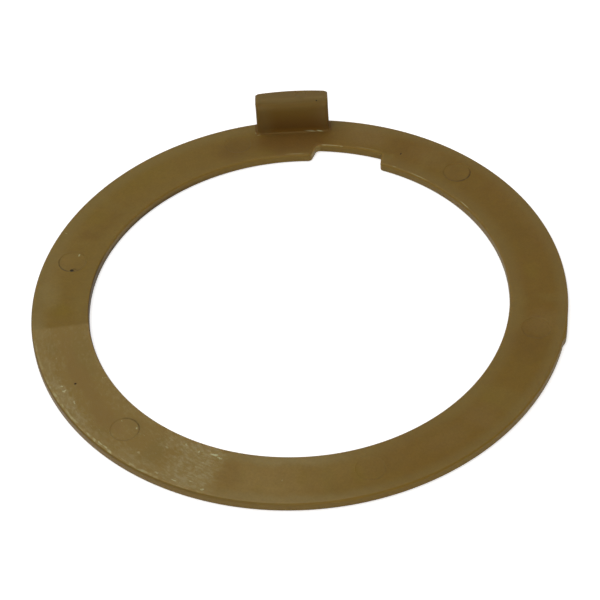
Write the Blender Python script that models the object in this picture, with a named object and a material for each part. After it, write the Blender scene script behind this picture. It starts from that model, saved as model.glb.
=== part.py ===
"""A moulded thrust washer: one flat ring with an upright lug on its rim and a key notch in its bore.

The ring lies flat. Its bottom face is at height 0, its axis is +Z, and +Y runs through the middle
of the key notch. Angles are in degrees, counter-clockwise from +X, seen from above.
"""

import math

import bmesh
import bpy
from mathutils import Matrix, Vector
from mathutils.geometry import delaunay_2d_cdt

# Every size below is in millimetres, and MM turns it into metres.
MM = 0.001

# The flat ring. Its band reaches from the bore out to the rim.
BORE_RADIUS = 35.3
BAND_WIDTH = 9.7
THICKNESS = 1.65
TOP_EDGE_ROUND = 0.4
BOTTOM_EDGE_BREAK = 0.2

# The key notch in the bore's wall. Left and right are as seen from the ring's axis.
NOTCH_ANGLE = 90.0
NOTCH_WIDTH = 12.2
NOTCH_DEPTH = 2.7
NOTCH_FLANK = 7.0
NOTCH_LEFT_MOUTH_RADIUS = 0.9
NOTCH_LEFT_ROOT_RADIUS = 0.8
NOTCH_RIGHT_MOUTH_RADIUS = 0.65
NOTCH_RIGHT_ROOT_RADIUS = 0.55

# The lug that stands up from the rim. Its back is flush with the rim and its front is flat.
LUG_ANGLE = 105.15
LUG_WIDTH = 12.9
LUG_THICKNESS = 3.5
LUG_RISE = 6.95
LUG_CORNER_RADIUS = 0.8
LUG_FRONT_ROUND = 1.8
LUG_SIDE_ROUND = 0.4
LUG_BACK_ROUND = 0.2
LUG_FOOT_FILLET = 0.3

# Shallow round marks left by the ejector pins on the middle of the band, evenly about the notch.
PIN_COUNT = 6
PIN_DIAMETER = 4.7
PIN_MARK_DEPTH = 0.1

# The stub where the moulding gate was trimmed: the rim swells slowly, then steps back.
GATE_ANGLE = -0.9
GATE_HEIGHT = 0.28
GATE_SWELL = 7.5
GATE_STEP = 1.3

# How finely the round stretches are divided.
RIM_STEP = 1.5
CORNER_STEPS = 4
EDGE_STEPS = 3
ROUND_STEPS = 5
PIN_SIDES = 32

# Sizes that follow from the ones above.
RIM_RADIUS = BORE_RADIUS + BAND_WIDTH
NOTCH_FLOOR_RADIUS = BORE_RADIUS + NOTCH_DEPTH
PIN_CIRCLE_RADIUS = BORE_RADIUS + BAND_WIDTH / 2
LUG_FRONT = RIM_RADIUS - LUG_THICKNESS
LUG_TOP = THICKNESS + LUG_RISE
LUG_HALF = LUG_WIDTH / 2
LUG_HALF_ANGLE = math.degrees(math.asin(LUG_HALF / RIM_RADIUS))

# The finish: amber moulded nylon with a satin skin.
NYLON_COLOUR = (0.16, 0.095, 0.03, 1.0)
NYLON_ROUGHNESS = 0.42

FULL_TURN = 360.0
QUARTER_TURN = 90.0
SHARP_ANGLE = 30.0
TRIANGLES_INSIDE = 1
SAME_POINT = 1e-6


def direction(angle):
    """The unit vector at an angle in the ring's plane."""
    return Vector((math.cos(math.radians(angle)), math.sin(math.radians(angle))))


def angle_of(point):
    """The angle of a point in the ring's plane."""
    return math.degrees(math.atan2(point.y, point.x))


def spread(first, last, step):
    """Even values from first to last, both included, about a step apart."""
    count = max(1, round(abs(last - first) / step))
    return [first + (last - first) * index / count for index in range(count + 1)]


def round_corner(centre, start, end, steps, faces_centre):
    """Points round a corner from start to end, each with the direction that points into the material."""
    begin = start - centre
    turn = begin.angle_signed(end - centre)
    corner = []
    for index in range(steps + 1):
        spoke = Matrix.Rotation(-turn * index / steps, 2) @ begin
        inward = -spoke.normalized() if faces_centre else spoke.normalized()
        corner.append((centre + spoke, inward))
    return corner


def notch_side(mouth_radius, root_radius):
    """One side of the notch, from bore to floor, drawn with the notch along +Y and this side at +X."""
    flank = math.radians(NOTCH_FLANK)
    along = Vector((-math.sin(flank), math.cos(flank)))
    into = Vector((math.cos(flank), math.sin(flank)))
    middle = Vector((NOTCH_WIDTH / 2, BORE_RADIUS + NOTCH_DEPTH / 2))
    mouth = middle + mouth_radius * into
    mouth += along_to_circle(mouth, along, BORE_RADIUS + mouth_radius)
    root = middle - root_radius * into
    root += along_to_circle(root, along, NOTCH_FLOOR_RADIUS - root_radius)
    mouth_start = mouth.normalized() * BORE_RADIUS
    mouth_end = mouth - mouth_radius * into
    root_start = root + root_radius * into
    root_end = root.normalized() * NOTCH_FLOOR_RADIUS
    return (round_corner(mouth, mouth_start, mouth_end, CORNER_STEPS, True)
            + round_corner(root, root_start, root_end, CORNER_STEPS, False))


def along_to_circle(point, along, radius):
    """The step from a point, along a unit vector, to the circle of a radius about the axis."""
    half = point.dot(along)
    return along * (math.sqrt(half * half - point.dot(point) + radius * radius) - half)


def turned_to_notch(point):
    """A vector of the notch's own plane, whose middle is +Y, turned to the notch's place on the ring."""
    across = direction(NOTCH_ANGLE - QUARTER_TURN)
    out = direction(NOTCH_ANGLE)
    return across * point.x + out * point.y


def mirrored(point):
    """A vector of the notch's own plane, mirrored across the notch's middle."""
    return Vector((-point.x, point.y))


def bore_outline():
    """The bore with its notch: points in order of angle, each with the direction into the material."""
    right = notch_side(NOTCH_RIGHT_MOUTH_RADIUS, NOTCH_RIGHT_ROOT_RADIUS)
    left = notch_side(NOTCH_LEFT_MOUTH_RADIUS, NOTCH_LEFT_ROOT_RADIUS)
    right = [(turned_to_notch(point), turned_to_notch(into)) for point, into in right]
    left = [(turned_to_notch(mirrored(point)), turned_to_notch(mirrored(into))) for point, into in left]
    left.reverse()
    floor = [(direction(angle) * NOTCH_FLOOR_RADIUS, direction(angle))
             for angle in spread(angle_of(right[-1][0]), angle_of(left[0][0]), RIM_STEP)[1:-1]]
    notch = right + floor + left
    bore_start = angle_of(notch[-1][0])
    bore_end = angle_of(notch[0][0]) + FULL_TURN
    bore = [(direction(angle) * BORE_RADIUS, direction(angle))
            for angle in spread(bore_start, bore_end, RIM_STEP)[1:-1]]
    return notch + bore, len(notch)


def rim_radius(angle):
    """The rim's radius at an angle: round, apart from the gate's stub."""
    lead = (angle - GATE_ANGLE + FULL_TURN / 2) % FULL_TURN - FULL_TURN / 2
    if 0 <= lead < GATE_SWELL:
        swell = (1 + math.cos(math.pi * lead / GATE_SWELL)) / 2
    elif -GATE_STEP < lead < 0:
        swell = 1 + lead / GATE_STEP
    else:
        swell = 0
    return RIM_RADIUS + GATE_HEIGHT * swell


def turn_between(first, last):
    """The turn from one angle to another, between minus and plus half a turn."""
    return (last - first + FULL_TURN / 2) % FULL_TURN - FULL_TURN / 2


def rim_angles(outline, notch_count):
    """One rim angle for each point of the bore's outline, some moved onto the lug's and gate's edges."""
    first = angle_of(outline[0][0])
    last = angle_of(outline[notch_count - 1][0])
    angles = [first + (last - first) * index / (notch_count - 1) for index in range(notch_count)]
    angles += [angle_of(point) for point, _ in outline[notch_count:]]
    lug_edges = (LUG_ANGLE - LUG_HALF_ANGLE, LUG_ANGLE + LUG_HALF_ANGLE)
    for edge in (*lug_edges, GATE_ANGLE, GATE_ANGLE - GATE_STEP):
        nearest = min(range(len(angles)), key=lambda index: abs(turn_between(angles[index], edge)))
        angles[nearest] = edge
    return angles


def matched_outlines():
    """The bore's outline and the rim's angles, both from the lug's right edge, and how many meet the lug."""
    outline, notch_count = bore_outline()
    angles = rim_angles(outline, notch_count)
    right_edge = LUG_ANGLE - LUG_HALF_ANGLE
    start = min(range(len(angles)), key=lambda index: abs(turn_between(angles[index], right_edge)))
    outline = outline[start:] + outline[:start]
    angles = angles[start:] + angles[:start]
    reach = LUG_HALF_ANGLE + SAME_POINT
    back_count = sum(abs(turn_between(LUG_ANGLE, angle)) <= reach for angle in angles)
    return outline, angles, back_count


def edge_levels():
    """Each loop of the ring's walls from the bottom face to the top one: how far in, and how high."""
    levels = [(BOTTOM_EDGE_BREAK, 0), (0, BOTTOM_EDGE_BREAK)]
    for index in range(EDGE_STEPS + 1):
        turn = math.radians(QUARTER_TURN * index / EDGE_STEPS)
        levels.append((TOP_EDGE_ROUND * (1 - math.cos(turn)), THICKNESS - TOP_EDGE_ROUND * (1 - math.sin(turn))))
    return levels


def add_points(mesh, points, height):
    """New vertices at points of the plane, lifted to one height."""
    return [mesh.verts.new(Vector((point.x, point.y, height)) * MM) for point in points]


def skin(mesh, lower, upper, closed=True):
    """Four-sided faces between two rows of vertices that run side by side."""
    for index in range(0 if closed else 1, len(lower)):
        mesh.faces.new((lower[index - 1], lower[index], upper[index], upper[index - 1]))


def is_inside(point, loop):
    """Whether a point of the plane lies inside a closed loop of points."""
    inside = False
    for start, end in zip(loop, loop[1:] + loop[:1]):
        if (start.y > point.y) != (end.y > point.y):
            crossing = start.x + (point.y - start.y) * (end.x - start.x) / (end.y - start.y)
            inside ^= point.x < crossing
    return inside


def fill(mesh, outer, holes):
    """Flat triangles inside a loop of vertices and outside the loops of its holes."""
    vertices = []
    edges = []
    for loop in (outer, *holes):
        first = len(vertices)
        vertices += loop
        edges += [(first + index, first + (index + 1) % len(loop)) for index in range(len(loop))]
    places = [vertex.co.xy / MM for vertex in vertices]
    hole_places = [[vertex.co.xy / MM for vertex in loop] for loop in holes]
    result = delaunay_2d_cdt(places, edges, [], TRIANGLES_INSIDE, SAME_POINT)
    triangles, sources = result[2], result[3]
    for triangle in triangles:
        corners = [sources[index][0] for index in triangle]
        middle = sum((places[index] for index in corners), Vector((0, 0))) / len(corners)
        if not any(is_inside(middle, hole) for hole in hole_places):
            mesh.faces.new([vertices[index] for index in corners])


def lug_place(across, out):
    """A point by its distance across the lug, to the left, and out from the axis."""
    return direction(LUG_ANGLE) * out + direction(LUG_ANGLE + QUARTER_TURN) * across


def on_circle(across, radius):
    """How far out a circle about the axis lies at a distance across the lug."""
    return math.sqrt(radius ** 2 - across ** 2)


def lug_back(rim):
    """The lug's columns along the rim, from right to left: foot, top and how far the edge drops."""
    top_half = LUG_HALF - LUG_SIDE_ROUND
    columns = []
    for index, point in enumerate(rim):
        across = point.dot(direction(LUG_ANGLE + QUARTER_TURN)) * top_half / LUG_HALF
        top = lug_place(across, on_circle(across, RIM_RADIUS - LUG_BACK_ROUND))
        drop = LUG_SIDE_ROUND if index in (0, len(rim) - 1) else LUG_BACK_ROUND
        columns.append((point, top, drop, Vector((0, 0))))
    return columns


def lug_front():
    """The lug's columns round its left side, front and right side: foot, top, drop and the foot's flare.

    The first and last stand where the sides meet the rim's rounded edge, and have no flare.
    """
    top_half = LUG_HALF - LUG_SIDE_ROUND
    side_start = on_circle(LUG_HALF, RIM_RADIUS - TOP_EDGE_ROUND)
    side_end = LUG_FRONT + LUG_CORNER_RADIUS
    top_corner = min(LUG_CORNER_RADIUS, LUG_SIDE_ROUND)
    top_start = on_circle(top_half, RIM_RADIUS - TOP_EDGE_ROUND)
    top_end = LUG_FRONT + LUG_FRONT_ROUND + top_corner
    columns = []
    for foot_out, top_out, flare in ((side_start, top_start, 0),
                                     ((side_start + side_end) / 2, (top_start + top_end) / 2, 1)):
        foot, top = Vector((LUG_HALF, foot_out)), Vector((top_half, top_out))
        columns.append((foot, top, LUG_SIDE_ROUND, Vector((flare, 0))))
    for index in range(CORNER_STEPS + 1):
        share = index / CORNER_STEPS
        spoke = direction(-QUARTER_TURN * share)
        foot = Vector((LUG_HALF - LUG_CORNER_RADIUS, side_end)) + spoke * LUG_CORNER_RADIUS
        top = Vector((top_half - top_corner, top_end)) + spoke * top_corner
        drop = LUG_SIDE_ROUND + (LUG_FRONT_ROUND - LUG_SIDE_ROUND) * share
        columns.append((foot, top, drop, spoke))
    right = [(mirrored(foot), mirrored(top), drop, mirrored(flare)) for foot, top, drop, flare in columns]
    return [(lug_place(*foot), lug_place(*top), drop, lug_place(*flare))
            for foot, top, drop, flare in columns + right[::-1]]


def lug_levels(columns):
    """The lug's loops above its foot: up the fillet, then over the rounded top edge."""
    levels = []
    for index in range(1, CORNER_STEPS + 1):
        turn = math.radians(QUARTER_TURN * index / CORNER_STEPS)
        reach = LUG_FOOT_FILLET * (1 - math.sin(turn))
        height = THICKNESS + LUG_FOOT_FILLET * (1 - math.cos(turn))
        levels.append([(foot + flare * reach, height) for foot, _, _, flare in columns])
    for index in range(ROUND_STEPS + 1):
        turn = math.radians(QUARTER_TURN * index / ROUND_STEPS)
        levels.append([(top + (foot - top) * math.cos(turn), LUG_TOP - drop * (1 - math.sin(turn)))
                       for foot, top, drop, _ in columns])
    return levels


def add_lug(mesh, back, rim, corners):
    """The lug on top of the ring. It returns the vertices of its foot, between the two corners."""
    left_corner, right_corner = corners
    front = lug_front()
    toes = add_points(mesh, [foot + flare * LUG_FOOT_FILLET for foot, _, _, flare in front[1:-1]], THICKNESS)
    lower = back + [left_corner] + toes + [right_corner]
    for level in lug_levels(lug_back(rim) + front):
        upper = [mesh.verts.new(Vector((point.x, point.y, height)) * MM) for point, height in level]
        skin(mesh, lower, upper)
        lower = upper
    fill(mesh, lower, [])
    return toes


def is_clear_of_lug(place):
    """Whether an ejector pin at a place stands clear of the lug's foot."""
    room = PIN_DIAMETER / 2 + LUG_FOOT_FILLET + TOP_EDGE_ROUND
    across = place.dot(direction(LUG_ANGLE + QUARTER_TURN))
    out = place.dot(direction(LUG_ANGLE))
    return abs(across) > LUG_HALF + room or out < LUG_FRONT - room


def add_pin_marks(mesh):
    """The ejector pins' shallow marks. It returns the loop round each, to be left out of the top face."""
    pitch = FULL_TURN / PIN_COUNT
    angles = [NOTCH_ANGLE + pitch * (index + 0.5) for index in range(PIN_COUNT)]
    loops = []
    for place in filter(is_clear_of_lug, [direction(angle) * PIN_CIRCLE_RADIUS for angle in angles]):
        circle = [place + direction(FULL_TURN * index / PIN_SIDES) * PIN_DIAMETER / 2
                  for index in range(PIN_SIDES)]
        edge = add_points(mesh, circle, THICKNESS)
        floor = add_points(mesh, circle, THICKNESS - PIN_MARK_DEPTH)
        skin(mesh, floor, edge)
        mesh.faces.new(floor)
        loops.append(edge)
    return loops


def add_bore(mesh, outline):
    """The bore's wall with its edges eased. It returns the loops on the bottom and top faces."""
    loops = [add_points(mesh, [point + into * depth for point, into in outline], height)
             for depth, height in edge_levels()]
    for lower, upper in zip(loops, loops[1:]):
        skin(mesh, lower, upper)
    return loops[0], loops[-1]


def eased(point, depth):
    """A point of the rim moved in towards the axis."""
    return point - point.normalized() * depth


def add_rim(mesh, rim, back_count):
    """The rim's wall with its edges eased, apart from the top edge under the lug.

    It returns the loop on the bottom face, the one at the top of the wall, and the row along the top
    face from the lug's left corner round to its right corner.
    """
    levels = edge_levels()
    wall_levels, round_levels = levels[:-EDGE_STEPS], levels[-EDGE_STEPS:]
    loops = [add_points(mesh, [eased(point, depth) for point in rim], height) for depth, height in wall_levels]
    for lower, upper in zip(loops, loops[1:]):
        skin(mesh, lower, upper)
    high = loops[-1]
    corner_out = on_circle(LUG_HALF, RIM_RADIUS - TOP_EDGE_ROUND)
    lower = high[back_count - 1:] + high[:1]
    ends = [[lower[0]], [lower[-1]]]
    for depth, height in round_levels:
        share = depth / TOP_EDGE_ROUND
        left = rim[back_count - 1].lerp(lug_place(LUG_HALF, corner_out), share)
        right = rim[0].lerp(lug_place(-LUG_HALF, corner_out), share)
        upper = add_points(mesh, [left, *(eased(point, depth) for point in rim[back_count:]), right], height)
        skin(mesh, lower, upper, closed=False)
        ends[0].append(upper[0])
        ends[1].append(upper[-1])
        lower = upper
    for end in ends:
        mesh.faces.new(end)
    return loops[0], high, lower


def make_washer():
    """The whole washer as one closed body."""
    outline, angles, back_count = matched_outlines()
    rim = [direction(angle) * rim_radius(angle) for angle in angles]
    mesh = bmesh.new()
    bottom_bore, top_bore = add_bore(mesh, outline)
    bottom_rim, high_rim, top_row = add_rim(mesh, rim, back_count)
    skin(mesh, bottom_bore, bottom_rim)
    toes = add_lug(mesh, high_rim[:back_count], rim[:back_count], (top_row[0], top_row[-1]))
    marks = add_pin_marks(mesh)
    fill(mesh, top_row + toes[::-1], [top_bore, *marks])
    bmesh.ops.recalc_face_normals(mesh, faces=mesh.faces)
    data = bpy.data.meshes.new("thrust_washer")
    mesh.to_mesh(data)
    mesh.free()
    data.shade_smooth()
    data.set_sharp_from_angle(angle=math.radians(SHARP_ANGLE))
    washer = bpy.data.objects.new("thrust_washer", data)
    bpy.context.scene.collection.objects.link(washer)
    return washer


def nylon():
    """The material of amber nylon."""
    material = bpy.data.materials.new("amber_nylon")
    material.use_nodes = True
    shader = material.node_tree.nodes["Principled BSDF"]
    shader.inputs["Base Color"].default_value = NYLON_COLOUR
    shader.inputs["Roughness"].default_value = NYLON_ROUGHNESS
    shader.inputs["Metallic"].default_value = 0.0
    return material


def main():
    """Build the washer in an empty scene."""
    for item in list(bpy.data.objects):
        bpy.data.objects.remove(item, do_unlink=True)
    make_washer().data.materials.append(nylon())


main()
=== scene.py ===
"""The looks of a moulded nylon thrust washer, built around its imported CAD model.

The frame is the CAD's own: the ring lies on the floor at height 0, its axis is +Z, and +Y runs
through the middle of the key notch. Shapes are worked out in millimetres and put down in metres.
Angles are in degrees, counter-clockwise from +X, seen from above.
"""

import logging
import math
from collections.abc import Callable, Iterable, Sequence
from dataclasses import dataclass, field
from enum import Enum
from functools import reduce

import bmesh
import bpy
from mathutils import Matrix, Vector, noise
from mathutils.geometry import delaunay_2d_cdt


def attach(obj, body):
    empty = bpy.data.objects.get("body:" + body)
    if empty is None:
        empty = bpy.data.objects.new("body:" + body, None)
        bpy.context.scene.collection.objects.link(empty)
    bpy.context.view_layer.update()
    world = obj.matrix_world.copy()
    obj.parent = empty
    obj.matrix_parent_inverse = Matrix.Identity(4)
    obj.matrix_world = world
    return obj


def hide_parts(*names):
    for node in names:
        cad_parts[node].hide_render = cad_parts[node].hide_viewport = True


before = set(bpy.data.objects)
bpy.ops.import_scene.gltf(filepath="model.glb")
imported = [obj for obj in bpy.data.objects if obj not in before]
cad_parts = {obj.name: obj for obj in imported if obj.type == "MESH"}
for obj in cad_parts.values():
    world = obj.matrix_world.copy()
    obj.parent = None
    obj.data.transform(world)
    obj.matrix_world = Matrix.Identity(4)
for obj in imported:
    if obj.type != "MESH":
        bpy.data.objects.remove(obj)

LOG = logging.getLogger("thrust_washer")
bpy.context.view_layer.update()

MM = 0.001
FULL_TURN = 360.0
HALF_TURN = 180.0
QUARTER_TURN = 90.0
SAME_POINT = 1e-6
TRIANGLES_INSIDE = 1
NOISE_MIDDLE = 0.5

Row = list[bmesh.types.BMVert]
Colour = tuple[float, float, float]
Column = tuple[Vector, Vector, float, Vector]


def direction(angle: float) -> Vector:
    """The unit vector at an angle in the ring's plane."""
    return Vector((math.cos(math.radians(angle)), math.sin(math.radians(angle))))


def angle_of(point: Vector) -> float:
    """The angle of a point in the ring's plane."""
    return math.degrees(math.atan2(point.y, point.x))


def turn_between(first: float, last: float) -> float:
    """The turn from one angle to another, between minus and plus half a turn."""
    return (last - first + HALF_TURN) % FULL_TURN - HALF_TURN


def smooth(value: float) -> float:
    """A soft ramp from 0 to 1."""
    value = min(1.0, max(0.0, value))
    return value * value * (3 - 2 * value)


def spread(first: float, last: float, step: float) -> list[float]:
    """Even values between two ends.

    Args:
        first: the first value.
        last: the last value.
        step: about how far apart they stand.

    Returns:
        The values, with both ends among them.
    """
    count = max(1, round(abs(last - first) / step))
    return [first + (last - first) * index / count for index in range(count + 1)]


def at_height(point: Vector, height: float) -> Vector:
    """A point of the plane lifted to a height."""
    return Vector((point.x, point.y, height))


class Shell:
    """One closed skin in the making: rows of points, strips between them and filled flats."""

    def __init__(self) -> None:
        """Start with nothing."""
        self.mesh = bmesh.new()

    def row(self, points: Iterable[Vector]) -> Row:
        """New vertices at points given in millimetres."""
        return [self.mesh.verts.new(point * MM) for point in points]

    def strip(self, lower: Row, upper: Row, closed: bool = True) -> None:
        """Lay four-sided faces between two rows that run side by side.

        Args:
            lower: one row.
            upper: the other, with as many vertices.
            closed: whether the last vertices join the first.
        """
        for index in range(0 if closed else 1, len(lower)):
            self.mesh.faces.new((lower[index - 1], lower[index], upper[index], upper[index - 1]))

    def fill(self, outer: Row, holes: Sequence[Row], loose: Sequence[Vector]) -> None:
        """Fill a flat with triangles.

        Args:
            outer: the loop round the flat.
            holes: the loops of its holes.
            loose: points of their own inside the flat, each with its height.
        """
        vertices: Row = []
        edges = []
        spans = []
        for loop in (outer, *holes):
            spans.append(range(len(vertices), len(vertices) + len(loop)))
            vertices += loop
            edges += [(spans[-1][index - 1], spans[-1][index]) for index in range(len(loop))]
        vertices += self.row(loose)
        places = [vertex.co.xy / MM for vertex in vertices]
        result = delaunay_2d_cdt(places, edges, [], TRIANGLES_INSIDE, SAME_POINT)
        triangles, sources = result[2], result[3]
        for triangle in triangles:
            corners = [sources[index][0] for index in triangle]
            if not any(self._lies_in(corners, span, places) for span in spans[1:]):
                self.mesh.faces.new([vertices[corner] for corner in corners])

    @staticmethod
    def _lies_in(corners: list[int], span: range, places: list[Vector]) -> bool:
        """Whether a triangle lies in a hole, all of whose own triangles hang on the hole's loop.

        Args:
            corners: the triangle's corners.
            span: the hole's loop.
            places: where each vertex lies.

        Returns:
            True for a triangle of the hole.
        """
        if not all(corner in span for corner in corners):
            return False
        middle = sum((places[corner] for corner in corners), Vector((0, 0))) / len(corners)
        inside = False
        for first, second in zip(span, [*span[1:], span[0]]):
            start, end = places[first], places[second]
            if (start.y > middle.y) != (end.y > middle.y):
                crossing = start.x + (middle.y - start.y) * (end.x - start.x) / (end.y - start.y)
                inside ^= middle.x < crossing
        return inside

    def lift(self, rise: Callable[[Vector], float]) -> None:
        """Move each vertex up by what a function of its place, in millimetres, gives."""
        for vertex in self.mesh.verts:
            vertex.co.z += rise(vertex.co / MM) * MM

    def piece(self, name: str, sharp_angle: float) -> bpy.types.Object:
        """Close the skin and put it in the scene.

        Args:
            name: the piece's name.
            sharp_angle: the angle between faces from which their edge is shaded sharp.

        Returns:
            The piece.
        """
        bare = [vertex for vertex in self.mesh.verts if not vertex.link_faces]
        bmesh.ops.delete(self.mesh, geom=bare, context="VERTS")
        bmesh.ops.recalc_face_normals(self.mesh, faces=self.mesh.faces)
        data = bpy.data.meshes.new(name)
        self.mesh.to_mesh(data)
        self.mesh.free()
        data.shade_smooth()
        data.set_sharp_from_angle(angle=math.radians(sharp_angle))
        made = bpy.data.objects.new(name, data)
        bpy.context.scene.collection.objects.link(made)
        return made


@dataclass(frozen=True)
class EdgePoint:
    """A point of an outline in the ring's plane, with the direction that points into the material."""

    place: Vector
    into: Vector

    def inset(self, depth: float) -> Vector:
        """The point moved into the material."""
        return self.place + self.into * depth


class Corner(Enum):
    """The notch's two kinds of corner.

    The value is the way to the material, along the spoke from the corner's centre.
    """

    MOUTH = -1.0
    ROOT = 1.0


@dataclass(frozen=True)
class KeyNotch:
    """The square notch in the bore. Left and right are as seen from the ring's axis."""

    angle: float = 90.0
    width: float = 12.2
    depth: float = 2.7
    flank: float = 7.0
    left_mouth_radius: float = 0.9
    left_root_radius: float = 0.8
    right_mouth_radius: float = 0.65
    right_root_radius: float = 0.55
    corner_steps: int = 8
    floor_step: float = 0.6

    def outline(self, bore_radius: float) -> list[EdgePoint]:
        """The notch's outline on a bore.

        Args:
            bore_radius: the bore's radius.

        Returns:
            Its points from the right mouth round the floor to the left mouth.
        """
        right = self._side(bore_radius, self.right_mouth_radius, self.right_root_radius)
        left = self._side(bore_radius, self.left_mouth_radius, self.left_root_radius)
        left = [EdgePoint(self._mirror(point.place), self._mirror(point.into)) for point in reversed(left)]
        right = [self._turned(point) for point in right]
        left = [self._turned(point) for point in left]
        angles = spread(angle_of(right[-1].place), angle_of(left[0].place), self.floor_step)[1:-1]
        floor_radius = bore_radius + self.depth
        floor = [EdgePoint(direction(angle) * floor_radius, direction(angle)) for angle in angles]
        return right + floor + left

    def _side(self, bore_radius: float, mouth_radius: float, root_radius: float) -> list[EdgePoint]:
        """One side of the notch, drawn with the notch along +Y and this side at +X.

        Args:
            bore_radius: the bore's radius.
            mouth_radius: the radius of the corner at the bore.
            root_radius: the radius of the corner at the floor.

        Returns:
            Its points, from the bore to the floor.
        """
        flank = math.radians(self.flank)
        along = Vector((-math.sin(flank), math.cos(flank)))
        into = Vector((math.cos(flank), math.sin(flank)))
        middle = Vector((self.width / 2, bore_radius + self.depth / 2))
        floor_radius = bore_radius + self.depth
        mouth = middle + mouth_radius * into
        mouth += self._to_circle(mouth, along, bore_radius + mouth_radius)
        root = middle - root_radius * into
        root += self._to_circle(root, along, floor_radius - root_radius)
        mouth_start = mouth.normalized() * bore_radius
        root_end = root.normalized() * floor_radius
        return (self._corner(mouth, mouth_start, mouth - mouth_radius * into, Corner.MOUTH)
                + self._corner(root, root + root_radius * into, root_end, Corner.ROOT))

    def _corner(self, centre: Vector, start: Vector, end: Vector, kind: Corner) -> list[EdgePoint]:
        """Points round a corner from start to end.

        Args:
            centre: the corner's centre.
            start: where it starts.
            end: where it ends.
            kind: which corner it is, which says where the material lies.

        Returns:
            The points.
        """
        begin = start - centre
        turn = begin.angle_signed(end - centre)
        corner = []
        for index in range(self.corner_steps + 1):
            spoke = Matrix.Rotation(-turn * index / self.corner_steps, 2) @ begin
            corner.append(EdgePoint(centre + spoke, spoke.normalized() * kind.value))
        return corner

    def _turned(self, point: EdgePoint) -> EdgePoint:
        """A point of the notch's own plane, turned to the notch's place on the ring."""
        turn = Matrix.Rotation(math.radians(self.angle - QUARTER_TURN), 2)
        return EdgePoint(turn @ point.place, turn @ point.into)

    @staticmethod
    def _mirror(point: Vector) -> Vector:
        """A vector of the notch's own plane, mirrored across the notch's middle."""
        return Vector((-point.x, point.y))

    @staticmethod
    def _to_circle(point: Vector, along: Vector, radius: float) -> Vector:
        """The step from a point, along a unit vector, to the circle of a radius about the axis."""
        half = point.dot(along)
        return along * (math.sqrt(half * half - point.dot(point) + radius * radius) - half)


@dataclass(frozen=True)
class GateStub:
    """Where the moulding gate was trimmed: the rim swells slowly, then breaks off in a torn step."""

    angle: float = -0.9
    height: float = 0.28
    swell: float = 7.5
    step: float = 1.3
    torn_reach: float = 1.6
    torn_depth: float = 0.06
    torn_grain: float = 3.0
    fine_step: float = 0.12

    def reach(self, angle: float) -> float:
        """How far the stub stands out from the rim at an angle.

        Args:
            angle: the angle on the rim.

        Returns:
            The distance.
        """
        lead = turn_between(self.angle, angle)
        if 0 <= lead < self.swell:
            share = (1 + math.cos(math.pi * lead / self.swell)) / 2
        elif -self.step < lead < 0:
            share = 1 + lead / self.step
        else:
            share = 0.0
        return self.height * share

    def torn(self, angle: float, height: float) -> float:
        """How far the torn skin is pulled in at an angle and a height.

        Args:
            angle: the angle on the rim.
            height: the height above the floor.

        Returns:
            The distance.
        """
        nearness = smooth(1 - abs(turn_between(self.angle - self.step / 2, angle)) / self.torn_reach)
        grain = noise.noise(Vector((angle, height, 0)) * self.torn_grain)
        return self.torn_depth * nearness * (grain + 1) / 2

    def angles(self) -> list[float]:
        """The rim's fine angles round the break."""
        return spread(self.angle - self.torn_reach * 2, self.angle + self.torn_reach, self.fine_step)


@dataclass(frozen=True)
class PinMark:
    """The round mark of one ejector pin: a shallow floor with a soft edge and a thin raised ring."""

    centre: Vector
    radius: float
    depth: float
    lip: float
    slope: float = 0.12
    sides: int = 64
    edge_steps: tuple[float, ...] = (-0.5, -0.25, 0.0, 0.25, 0.5, 1.0, 1.5, 2.0)
    floor_shares: tuple[float, ...] = (0.8, 0.6, 0.4, 0.2)

    def rise(self, point: Vector) -> float:
        """How far the mark lifts the face at a point of the ring's plane.

        Args:
            point: the point, in millimetres.

        Returns:
            The lift, which is below 0 on the mark's floor.
        """
        gap = (point.xy - self.centre).length - self.radius
        floor = -self.depth * smooth(0.5 - gap / self.slope)
        ring = self.lip * smooth(1 - abs(gap - self.slope) / self.slope)
        return floor + ring

    def holds(self, point: Vector, room: float) -> bool:
        """Whether a point lies within the mark or so close round it."""
        return (point.xy - self.centre).length < self.radius + room

    def points(self) -> list[Vector]:
        """Points on circles that follow the mark's edge, with some on its floor.

        Returns:
            The points.
        """
        circles = [(self.radius + step * self.slope, self.sides) for step in self.edge_steps]
        circles += [(self.radius * share, round(self.sides * share)) for share in self.floor_shares]
        return [self.centre + direction(FULL_TURN * index / sides) * radius
                for radius, sides in circles for index in range(sides)] + [self.centre.copy()]


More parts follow.
